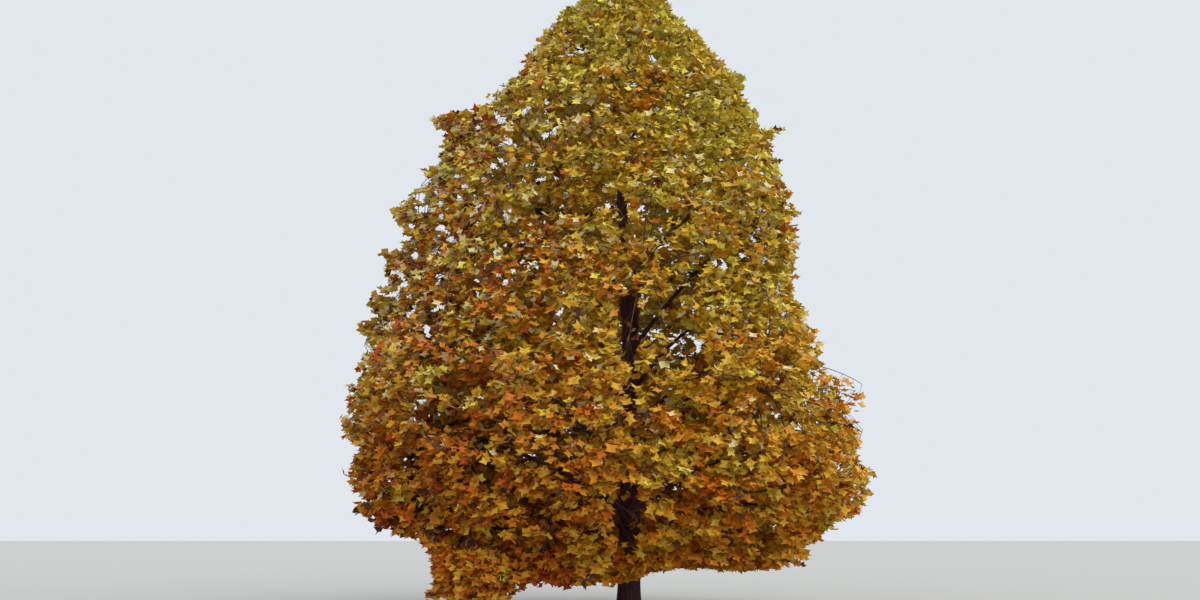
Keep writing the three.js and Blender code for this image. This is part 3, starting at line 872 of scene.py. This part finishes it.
level_way = unit(stalk_way * [1, 1, 0] + crown_out * HANG_OUT + rng.normal(size=(len(nodes), 3)) * SWING)
droop = lerp(DROOP, rng.beta(*DROOP_SPREAD, len(nodes)))[:, None]
blade_along = level_way * np.cos(droop) - np.sin(droop) * [0, 0, 1]
blade_up = level_way * np.sin(droop) + np.cos(droop) * [0, 0, 1]
roll = rng.normal(scale=ROLL, size=len(nodes))[:, None]
blade_across = unit(np.cross(blade_along, blade_up))
blade_up = unit(blade_up * np.cos(roll) + blade_across * np.sin(roll))
blade_across = np.cross(blade_along, blade_up)
blade_length = lerp(LEAF_LENGTHS, rng.beta(*LENGTH_SPREAD, len(nodes)))
blade_tips = blade_feet + blade_along * blade_length[:, None]
tip_height = blade_tips[:, 2]
print(f"blades {blade_length.min():.3f} to {blade_length.max():.3f} m long, mean {blade_length.mean():.3f} m")

# %% [markdown]
# ## Lanes through the foliage
#
# The photograph looks right into the crown in a few places: the dark trunk shows three times, a fan of boughs
# shows beside it, and the sky glints through elsewhere. Such a lane is where few twigs happened to grow along
# one line of sight. Each lane is an ellipse on the upright plane through the trunk (its middle's x and z, its
# half width and height, and the share of leaves that stay), and the leaves on the lines from the camera
# through it are thinned: only those in front of the trunk, or all of them for a piece of sky. Each twig sees
# a sky lane a little larger or smaller, so that its edge is ragged, and a twig that crosses the heart of a
# fully cleared one goes too. A bough's lane follows a stretch of its limb, and clears only what hangs in
# front of it. The sky's fine glints are lanes a hand wide, strewn by a seed over the parts of the crown where
# the photograph has them: a row holds a part's x and z ranges, their number and their widening.

# %% Lanes through the foliage
TRUNK_LANES = [
    (-0.11, 7.45, 0.22, 0.4, 0.03), (0.04, 5.2, 0.24, 0.76, 0.03), (0.0, 1.72, 0.3, 0.66, 0.06),
    (0.7, 5.25, 0.5, 0.5, 0.2),
]
BOUGH_LANES = [
    (14, 0.04, 0.6, 0.13, 0.05), (12, 0.08, 0.5, 0.11, 0.1), (17, 0.06, 0.6, 0.1, 0.15),
    (4, 0.05, 0.85, 0.07, 0.1), (1, 0.3, 0.85, 0.06, 0.1), (5, 0.08, 0.75, 0.07, 0.15),
    (0, 0.12, 0.7, 0.06, 0.2), (11, 0.06, 0.5, 0.09, 0.2), (9, 0.1, 0.5, 0.06, 0.2), (8, 0.2, 0.6, 0.05, 0.2),
]
SKY_LANES = [
    (-1.46, 9.08, 0.14, 0.14, 0.1), (-1.62, 7.25, 0.09, 0.2, 0.15), (-3.45, 6.85, 0.2, 0.25, 0.3),
    (-2.0, 6.35, 0.3, 0.16, 0.25), (2.35, 7.1, 0.28, 0.3, 0.35), (1.4, 6.1, 0.6, 0.9, 0.4),
    (0.75, 7.0, 0.3, 0.8, 0.42), (0.15, 8.6, 0.08, 0.1, 0.1), (1.1, 4.85, 0.42, 0.3, 0.1),
    (4.3, 4.68, 0.85, 0.46, 0), (-4.2, 0.82, 0.92, 0.7, 0), (2.4, 0.5, 2.1, 0.38, 0),
    (-3.55, 9.74, 0.7, 0.34, 0), (-3.1, 10.2, 0.8, 0.38, 0), (4.65, 2.8, 0.6, 0.22, 0),
    (4.4, 1.55, 0.6, 0.22, 0), (3.9, 3.9, 0.95, 0.6, 0.22), (4.1, 2.95, 0.5, 0.6, 0.4),
    (-4.85, 1.5, 0.42, 0.32, 0), (1.1, 0.6, 1.2, 0.3, 0), (0, 0.43, 0.35, 0.24, 0),
    (1.7, 12.1, 0.95, 0.75, 0), (-2.3, 12.3, 1.25, 1.3, 0),
]
GLINTS = [
    ((0.1, 2.7), (4.8, 9.1), 80, 1), ((-3.6, -2.2), (5.7, 7.8), 30, 1), ((-2.4, -0.3), (5.2, 8), 18, 1),
    ((2.6, 4.1), (3.2, 6.5), 26, 1.1), ((-4.4, -2.5), (3.4, 5.2), 12, 1), ((-2.9, -1.2), (8, 10), 34, 1.1),
    ((-0.9, 1.4), (9.2, 11.6), 16, 1), ((-4.7, -3.4), (4.9, 6.4), 18, 1.3),
    ((-4.1, -3.1), (6.4, 8.2), 18, 1.3),
]
GLINT_SIZES = [0.055, 0.09]
LINE_STEPS = 24
BEFORE_TRUNK = 0.25
BEFORE_BOUGH = 0.06
LANE_SIZES = [0.84, 1.1]
SKY_HEART = 0.85
HEART_SHARES = (0, 0.25, 0.5)


def crossing(points):
    """Where the camera's line of sight through each point crosses the upright plane through the trunk."""
    rays = points - np.array(EYE)
    return (np.array(EYE) - rays * (EYE.y / rays[:, 1:2]))[:, [0, 2]]


def in_lane(seen, lane, size=1.0):
    """Whether each place seen lies in a lane's ellipse, drawn larger or smaller by a size."""
    x, z, half_width, half_height = lane[:4]
    return ((seen[:, 0] - x) / half_width) ** 2 + ((seen[:, 1] - z) / half_height) ** 2 < size**2


def hides_bough(seen, depths, lane):
    """Whether each leaf hangs in front of a stretch of a limb."""
    number, start, end, half_width = lane[:4]
    line = limbs[number].at(np.linspace(start, end, LINE_STEPS))
    away = np.linalg.norm(seen[:, None] - crossing(line)[None], axis=2)
    return (away.min(1) < half_width) & (depths < line[away.argmin(1), 1] - BEFORE_BOUGH)


glints = []
for (left, right), (low, high), count, widening in GLINTS:
    middles = lerp(np.array([[left, low], [right, high]]), rng.random((count, 1, 2)))[:, 0]
    sizes = lerp(GLINT_SIZES, rng.random((count, 2))) * widening
    glints += [(*middle, *size) for middle, size in zip(middles, sizes)]
blade_middles = (blade_feet + blade_tips) / 2
seen = crossing(blade_middles)
in_front = blade_middles[:, 1] < -BEFORE_TRUNK
chance = rng.random(len(nodes))
thinned = np.zeros(len(nodes), bool)
for lane in TRUNK_LANES:
    thinned |= in_lane(seen, lane) & in_front & (chance > lane[4])
lane_sizes = lerp(LANE_SIZES, np.random.default_rng(SEED + 1).random(len(fine_tips)))[node_owner]
for lane in SKY_LANES:
    thinned |= in_lane(seen, lane, lane_sizes) & (chance > lane[4])
for lane in glints:
    thinned |= in_lane(seen, lane)
for lane in BOUGH_LANES:
    thinned |= hides_bough(seen, blade_middles[:, 1], lane) & (chance > lane[4])
in_sky = np.zeros(len(fine_tips), bool)
for lane in SKY_LANES:
    for share in HEART_SHARES:
        in_sky |= in_lane(crossing(lerp([fine_starts, fine_tips], share)), lane, SKY_HEART) & (lane[4] == 0)
thinned |= in_sky[node_owner]
lane_count = len(TRUNK_LANES + SKY_LANES + BOUGH_LANES)
print(f"{thinned.sum()} leaves left out of {lane_count} lanes and {len(glints)} glints")

# %% [markdown]
# ## Which leaves grow
#
# A leaf is kept only where the crown is: not outside its outline, not too near the ground, not against the
# trunk below its top, and not in a lane. Each twig has its own small slack at the outline, more of it in the
# upper crown, so that single sprays stand out of the edge. A twig with only a few leaves left is bare: it and
# they aren't drawn. The last leaf left on a shoot is noted, because the shoot will end there. To grow only
# what is kept would be quicker, but this way every twig draws its random numbers in one order, and a changed
# lane leaves the rest of the tree as it was.

# %% Which leaves grow
OUTLINE_SLACK = [-0.06, 0.15]
HANGING_SLACK = 2.2
RAGGED_FROM = 5
RAGGED_GAIN = 2
LOWEST_LEAF = 0.36
TRUNK_ROOM = 0.45
TOP_TUFT = 0.6
BARE_BELOW = 0.14

slack = lerp(OUTLINE_SLACK, rng.random(len(fine_tips)))
slack[-HANGING_TWIGS:] = HANGING_SLACK
ragged = np.where(tip_height > RAGGED_FROM, RAGGED_GAIN, 1)
tip_azimuth = np.arctan2(blade_tips[:, 1], blade_tips[:, 0])
edge = crown_radius(tip_height, tip_azimuth) + slack[node_owner] * ragged
reach = np.hypot(blade_tips[:, 0], blade_tips[:, 1])
off_trunk = (np.hypot(nodes[:, 0], nodes[:, 1]) > TRUNK_ROOM) | (nodes[:, 2] > TRUNK_TOP - TOP_TUFT)
kept = (reach < edge) & (tip_height > LOWEST_LEAF) & off_trunk & ~thinned
leafy_twigs = np.bincount(node_owner[kept], minlength=len(fine_tips)) > BARE_BELOW * np.bincount(node_owner)
kept &= leafy_twigs[node_owner]
on_shoot = np.arange(len(kept)) < len(shoot_starts) * LEAVES_PER_SHOOT
leaves_on = kept[on_shoot].reshape(-1, LEAVES_PER_SHOOT)
leafy_shoots = leaves_on.any(1)
last_leaf = 1 - leaves_on[:, ::-1].argmax(1) / LEAVES_PER_SHOOT
leafy_tips = kept[~on_shoot].reshape(-1, LEAVES_PER_TIP).any(1)
print(f"{kept.sum()} of {len(kept)} leaves kept on {leafy_twigs.sum()} twigs and {leafy_shoots.sum()} shoots")

# %% [markdown]
# ## The leaf
#
# A tulip tree's leaf is like no other: two lobes at its sides, two at its end, and between those a shallow
# notch, as if the tip had been cut off. Eight corners are enough for that outline, with six triangles between
# them. A flat plate would look like paper, so the two halves fold up from the midrib and the lobes curl down.
# Several forms with different folds are dealt out. One more narrow triangle is the stalk. Deep in the crown
# only a leaf's colour and size tell, so there it has four triangles and no stalk.

# %% The leaf
HALF_OUTLINE = np.array([[0.66, 0.14], [0.36, 0.50], [0.53, 0.98]])
NOTCH = 0.80
FOLDS = [0.25, 0.45, 0.65, 0.3, 0.95, 0.5]
CURLS = [0.2, 0.45, 0.25, 0.7, 0.5, 0.1]
WIDTHS = [1.0, 0.95, 1.08, 0.9, 0.85, 1.04]
CURL_ACROSS = 0.7
CURL_ALONG = 0.35
STALK_HALF_WIDTH = 0.0022
HALF_TRIANGLES = np.array([[0, 2, 3], [0, 3, 1], [3, 4, 1]])
INNER_TRIANGLES = np.array([[0, 2, 4], [0, 4, 1]])
INNER_DEPTH = 0.75
INNER_FROM = 1.35


def leaf_form(fold, curl, width):
    """Eight corners: across, along and up, in shares of the blade's length."""
    foot_and_notch = np.array([[0, 0], [0, NOTCH]])
    flat = np.concatenate([foot_and_notch, HALF_OUTLINE, HALF_OUTLINE * [-1, 1]])
    across, along = flat[:, 0] * width, flat[:, 1]
    up = fold * np.abs(across) - curl * (CURL_ACROSS * across**2 + CURL_ALONG * along**2)
    return np.stack([across, along, up], -1)


def both_halves(right):
    """The triangles of a whole blade from those of its right half."""
    return np.concatenate([right, np.where(right > 1, right + len(HALF_OUTLINE), right)[:, ::-1]])


def leaf_mesh(chosen):
    """Corners, triangles and flat coordinates of the chosen leaves, both outer and inner ones."""
    form = forms[leaf_forms[chosen]]
    axes = np.stack([blade_across[chosen], blade_along[chosen], blade_up[chosen]], 1)
    size = blade_length[chosen][:, None, None]
    blades = blade_feet[chosen][:, None] + np.einsum("ijk,ikl->ijl", form, axes) * size
    side = blade_across[chosen] * STALK_HALF_WIDTH
    stalks = np.stack([nodes[chosen] - side, nodes[chosen] + side], 1)
    corners = np.concatenate([blades, stalks], 1)
    flat = np.concatenate([form[:, :, :2], np.zeros((len(chosen), 2, 2))], 1)
    triangles, coordinates = [], []
    for leaves, pattern in ((~inner[chosen], OUTER_PATTERN), (inner[chosen], INNER_PATTERN)):
        first = np.flatnonzero(leaves) * corners.shape[1]
        triangles.append((pattern[None] + first[:, None, None]).reshape(-1, 3))
        coordinates.append(flat[leaves][:, pattern].reshape(-1, 2))
    return corners.reshape(-1, 3), np.concatenate(triangles), np.concatenate(coordinates)


forms = np.stack([leaf_form(*values) for values in zip(FOLDS, CURLS, WIDTHS)])
stalk = [forms.shape[1], forms.shape[1] + 1, 0]
OUTER_PATTERN = np.concatenate([both_halves(HALF_TRIANGLES), [stalk]])
INNER_PATTERN = both_halves(INNER_TRIANGLES)
inner = (edge - reach > INNER_DEPTH) & (tip_height > INNER_FROM)
leaf_forms = rng.integers(len(forms), size=len(nodes))
print(f"{len(forms)} leaf forms, {(kept & inner).sum()} of {kept.sum()} leaves in the plainer, inner shape")

# %% [markdown]
# ## Autumn tints
#
# The tree is half turned. Its top is still olive and yellow-green, gold takes over lower down, and the lowest
# boughs are amber and orange. Dry brown leaves are scattered through, and inside the lowest boughs more brown
# leaves are dealt as painted shade, to darken the gaps there. Red ones show most on the left, and pink ones
# at the upper left. Pale ones grow commoner up the crown and at the upper left: they are partly pale
# undersides and partly painted highlights of the sky's sheen. A pattern painted over the whole crown would be
# lost on so many small faces, so each tint is a plain base colour on a piece of its own, and a leaf is dealt
# to one by a
# warmth: its height and side set it, and its branch, its twig and the leaf itself each shift it. The
# scattered tints are then dealt over these by chance.

# %% Autumn tints
TINTS = [
    ("olive", srgb(178, 170, 52), "leaves_olive"),
    ("moss_green", srgb(198, 187, 76), "leaves_olive"),
    ("yellow_green", srgb(218, 200, 74), "leaves_olive"),
    ("old_gold", srgb(200, 168, 52), "leaves_gold"),
    ("bright_gold", srgb(210, 163, 42), "leaves_gold"),
    ("amber", srgb(206, 136, 30), "leaves_gold"),
    ("orange", srgb(200, 108, 24), "leaves_amber"),
    ("rust", srgb(172, 92, 21), "leaves_amber"),
    ("red_orange", srgb(190, 80, 38), "leaves_amber"),
]
SCATTERED = [
    # partly the leaves' pale undersides, partly a painted highlight of the sky's sheen
    ("pale_and_highlight", srgb(214, 198, 140), "leaves_gold"),
    ("dusky_pink", srgb(206, 144, 104), "leaves_gold"),
    # the brown tint serves both real dry leaves and painted shade deep inside the lowest boughs
    ("dry_brown_and_shade", srgb(92, 58, 26), "leaves_amber"),
]
RED_ORANGE = len(TINTS) - 1
PALE_AND_HIGHLIGHT, DUSKY_PINK, BROWN_AND_SHADE = range(len(TINTS), len(TINTS + SCATTERED))
WARMTH_STEPS = [-1.2, -0.75, -0.25, 0.3, 0.8, 1.35, 1.9, 2.4]
HEIGHT_WARMTH = [[0.5, 2.0, 4.0, 6.5, 9.0, 12.5], [1.15, 0.88, 0.65, 0.18, -0.15, -0.3]]
CROWN_HALF_WIDTH = 5.0
LEFT_WARMTH = 0.26
BRANCH_WARMTH = 0.24
TWIG_WARMTH = 0.42
LEAF_WARMTH = 0.42
WARMTH_SPREAD = [[1.5, 6.5], [0.8, 1.0]]
PALE_AND_HIGHLIGHT_SHARE = [[2.2, 4.8, 12.5], [0.0, 0.11, 0.12]]
BROWN_SHARE = 0.04
LEFT_PALE_AND_HIGHLIGHT = 0.2
LEFT_BROWN = 0.05
LEFT_RED = 0.08
LEFT_PINK = 0.15
UPPER_SPAN = 6
UPPER_OFFSET = 0.3
# painted shade: extra brown leaves deep inside the lowest boughs, to darken the gaps there
INNER_SHADE_BROWN = 0.35
INNER_SHADE_RIGHT = 0.3
INNER_SHADE_TOP = 3.4

rightward = blade_tips[:, 0] / CROWN_HALF_WIDTH
branch_shift = rng.normal(scale=BRANCH_WARMTH, size=fine_branch.max() + 1)[fine_branch]
shift = (branch_shift[node_owner] + rng.normal(scale=TWIG_WARMTH, size=len(fine_tips))[node_owner]
         + rng.normal(scale=LEAF_WARMTH, size=len(nodes)))
warmth = smooth(*HEIGHT_WARMTH, tip_height) - LEFT_WARMTH * rightward
warmth += shift * np.interp(tip_height, *WARMTH_SPREAD)
tint = np.searchsorted(WARMTH_STEPS, warmth)
chance = rng.random(len(nodes))
leftward = np.clip(-rightward, 0, 1)
upper_left = leftward * np.clip(tip_height / UPPER_SPAN - UPPER_OFFSET, 0, 1)
# pale leaves, commoner up the crown and at the upper left, are partly painted highlights of the sky's sheen
pale_and_highlight_share = np.interp(tip_height, *PALE_AND_HIGHLIGHT_SHARE) + LEFT_PALE_AND_HIGHLIGHT * upper_left
brown_and_shade_share = BROWN_SHARE + LEFT_BROWN * leftward
# painted shade: inner leaves low in the crown are dealt the brown tint as well
brown_and_shade_share += INNER_SHADE_BROWN * (INNER_SHADE_RIGHT + leftward) * (inner & (tip_height < INNER_SHADE_TOP))
tint[chance < pale_and_highlight_share] = PALE_AND_HIGHLIGHT
tint[chance > 1 - brown_and_shade_share - LEFT_RED * leftward - LEFT_PINK * upper_left] = DUSKY_PINK
tint[chance > 1 - brown_and_shade_share - LEFT_RED * leftward] = RED_ORANGE
tint[chance > 1 - brown_and_shade_share] = BROWN_AND_SHADE
print("leaves of each tint:", np.bincount(tint[kept]).tolist())

# %% [markdown]
# ## A leaf's finish
#
# An autumn leaf is a dry, faintly waxy sheet. What the eye reads close up is its veins: a midrib, and side
# veins that slant to the lobes. They are worked out from a flat coordinate that each blade carries, and they
# only raise the surface and roughen it, so the tint itself stays plain. Soft gloss between the veins picks up
# the pale sky, as the real leaves do. A blade also lets a little daylight through, most where it is still
# green. Opaque triangles can't, so a very faint glow of the same tint stands in for it.

# %% A leaf's finish
VEINS_ALONG = 7.0
VEIN_SLANT = 0.8
LET_THROUGH = {"leaves_olive": 0.045, "leaves_gold": 0.02, "leaves_amber": 0.005}
GLOSS = {"leaves_olive": 0.35, "leaves_gold": 0.28, "leaves_amber": 0.18}


def leaf_finish(name, colour, slot):
    finish = Finish("leaf_" + name, Base_Color=colour, Specular_IOR_Level=GLOSS[slot],
                    Emission_Color=colour, Emission_Strength=LET_THROUGH[slot])
    blade = finish.add("UVMap", {"uv_map": "blade"}, {})
    across = finish.add("SeparateXYZ", {}, {"Vector": blade}, "X")
    along = finish.add("SeparateXYZ", {}, {"Vector": blade}, "Y")
    width = abs(across)
    midrib = finish.add("MapRange", {}, {"Value": width, "From Max": 0.035, "To Min": 1.0, "To Max": 0.0})
    slanting = (along - width * VEIN_SLANT) * VEINS_ALONG
    wave = finish.add("Math", {"operation": "PINGPONG"}, {0: slanting, 1: 0.5})
    side_veins = finish.add("MapRange", {}, {"Value": wave, "From Max": 0.12, "To Min": 0.6, "To Max": 0.0})
    veins = finish.add("Math", {"operation": "MAXIMUM"}, {0: midrib, 1: side_veins})
    place = finish.add("TexCoord", {}, {}, "Object")
    cells = finish.add("TexNoise", {}, {"Vector": place, "Scale": 45.0})
    finish.set("Roughness", 0.46 + cells * 0.16 + veins * 0.15)
    finish.bump(veins + cells * 0.5, 0.0015, 0.6)
    return finish.material


# %% [markdown]
# ## Leaves by tint
#
# Every leaf could be an object of its own, or an instance of one, but a hundred thousand objects are slow to
# load and awkward to hand on. Joined by tint they make twelve meshes, each with one finish.

# %% Leaves by tint
for number, (name, colour, slot) in enumerate(TINTS + SCATTERED):
    corners, triangles, coordinates = leaf_mesh(np.flatnonzero(kept & (tint == number)))
    finish = leaf_finish(name, colour, slot)
    make_piece("leaves_" + name, corners, triangles, finish, slot, MASSES, coordinates=coordinates)

# %% [markdown]
# ## Twigs
#
# The twigs are dark and thin, and mostly seen against the light through gaps. Stems, main twigs and fine
# twigs are tubes of fewer and fewer sides, and a shoot, 4 mm thick at its foot, is a three-sided spike. Bare
# ends would stand out of the foliage, so each twig is drawn up to its last leafy branch and each shoot up to
# its last leaf.

# %% Twigs
TWIG_COLOUR = srgb(70, 52, 50)
SHOOT_COLOUR = srgb(112, 78, 48)
STEM_SIDES = 10
TWIG_SIDES = 5
TWIG_RADII = [0.011, 0.0045]
FINE_RINGS = 3
FINE_SIDES = 3
FINE_RADII = [0.0042, 0.0022]
SHOOT_RADIUS = 0.0022
SPIKE = np.array([[0, 3, 1], [1, 3, 2], [2, 3, 0]])
FIRST_FORK_SHARE = int(FIRST_FORK * TWIG_RINGS) / (TWIG_RINGS - 1)


def twig_finish(name, colour):
    finish = Finish(name, Base_Color=colour, Specular_IOR_Level=0.3)
    place = finish.add("TexCoord", {}, {}, "Object")
    grain = finish.add("TexNoise", {}, {"Vector": place, "Scale": 90.0, "Detail": 3.0})
    finish.set("Roughness", 0.6 + grain * 0.3)
    finish.bump(grain, 0.001, 0.5)
    return finish.material


def tapered(ends, count, rings):
    """Radii (tube, ring) that go evenly from the first end to the second."""
    return np.tile(np.linspace(*ends, rings), (count, 1))


def spikes(lines, radius):
    """Corners and triangles of three-sided spikes from each line's start to its end."""
    corners, _ = tubes(lines, np.full(lines.shape[:2], radius), 3)
    corners = np.concatenate([corners.reshape(len(lines), 2, 3, 3)[:, 0], lines[:, 1:]], 1)
    first = np.arange(len(lines))[:, None, None] * corners.shape[1]
    return corners.reshape(-1, 3), (SPIKE + first).reshape(-1, 3)


def last_fork(count, owners, shares):
    """How far along each of `count` lines the last of its own branches leaves it."""
    last = np.zeros(count)
    np.maximum.at(last, owners, shares)
    return last


stems = tubes(stem_lines, stem_radii, STEM_SIDES)
forked = leafy_twigs & (fine_branch >= len(stem_lines))
main_ends = last_fork(PLACES, fine_branch[forked] - len(stem_lines), fine_forks[forked])
main_lines = bezier(twig_starts, twig_bends, places, TWIG_RINGS, lerp([FIRST_FORK_SHARE, 1], main_ends))
main_twigs = tubes(main_lines, tapered(TWIG_RADII, PLACES, TWIG_RINGS), TWIG_SIDES)
fine_ends = last_fork(len(fine_tips), shoot_owner[leafy_shoots], shoot_forks[leafy_shoots])
fine_ends = np.maximum(fine_ends, leafy_tips)
fine_lines = bezier(fine_starts, fine_bends, fine_tips, FINE_RINGS, fine_ends)[leafy_twigs]
fine_twigs = tubes(fine_lines, tapered(FINE_RADII, len(fine_lines), FINE_RINGS), FINE_SIDES)
shoot_ends = shoot_starts + (shoot_tips - shoot_starts) * last_leaf[:, None]
shoots = spikes(np.stack([shoot_starts, shoot_ends], 1)[leafy_shoots], SHOOT_RADIUS)
for name, tube, finish in (
    ("stems", stems, bough_bark),
    ("main_twigs", main_twigs, twig_finish("twig_bark", TWIG_COLOUR)),
    ("fine_twigs", fine_twigs, twig_finish("fine_twig_bark", TWIG_COLOUR)),
    ("shoots", shoots, twig_finish("shoot_bark", SHOOT_COLOUR)),
):
    make_piece(name, *tube, finish, BARK_SLOT, MASSES, is_smooth=True)

# %% [markdown]
# ## Floor
#
# The tree stands on a plain pale floor, wide enough to reach the horizon. A flat sheet with one colour would
# do, but a little mottling in its gloss keeps it from looking like fog.

# %% Floor
FLOOR_SIDE = 240.0
FLOOR_COLOUR = srgb(190, 189, 185)


def floor_sheet():
    half = FLOOR_SIDE / 2
    mesh = bpy.data.meshes.new("floor")
    corners = [(-half, -half, 0), (half, -half, 0), (half, half, 0), (-half, half, 0)]
    mesh.from_pydata(corners, [], [(0, 1, 2, 3)])
    finish = Finish("floor", Base_Color=FLOOR_COLOUR, Specular_IOR_Level=0.2)
    place = finish.add("TexCoord", {}, {}, "Object")
    mottle = finish.add("TexNoise", {}, {"Vector": place, "Scale": 1.5})
    finish.set("Roughness", 0.8 + mottle * 0.15)
    mesh.materials.append(finish.material)
    return add_object("floor", mesh)


floor_sheet()
print(f"floor: {FLOOR_SIDE:.0f} m square")

# %% [markdown]
# ## Light
#
# The photograph was taken under a bright, thinly clouded sky: light from everywhere, most of it from above,
# and a little more from the right, where the crown is brightest. A plain pale world gives the first, and a
# big soft sun gives the second. A weak and very broad light from the front stands for the bright half of the
# sky behind the camera, and keeps the gaps between the leaves from going black. The plain view transform
# keeps the autumn tints as saturated as they are dealt.

# %% Light
WORLD_COLOUR = (0.81, 0.86, 0.91, 1.0)
WORLD_STRENGTH = 0.93
SUNS = [
    ("soft_sun", 1.45, math.radians(75), (1.0, 0.97, 0.92), Vector((1.0, -0.7, 0.95))),
    ("front_fill", 0.75, math.radians(140), (0.96, 0.98, 1.0), Vector((0.35, -1.0, 0.45))),
]

world = bpy.data.worlds.new("pale_sky")
world.use_nodes = True
background = world.node_tree.nodes["Background"].inputs
background["Color"].default_value, background["Strength"].default_value = WORLD_COLOUR, WORLD_STRENGTH
bpy.context.scene.world = world
bpy.context.scene.view_settings.view_transform = "Standard"

for name, strength, angle, colour, source in SUNS:
    sun_data = bpy.data.lights.new(name, "SUN")
    sun_data.energy, sun_data.angle, sun_data.color = strength, angle, colour
    add_object(name, sun_data).rotation_euler = source.to_track_quat("Z", "Y").to_euler()
print("light: one pale world,", ", ".join(name for name, *_ in SUNS))
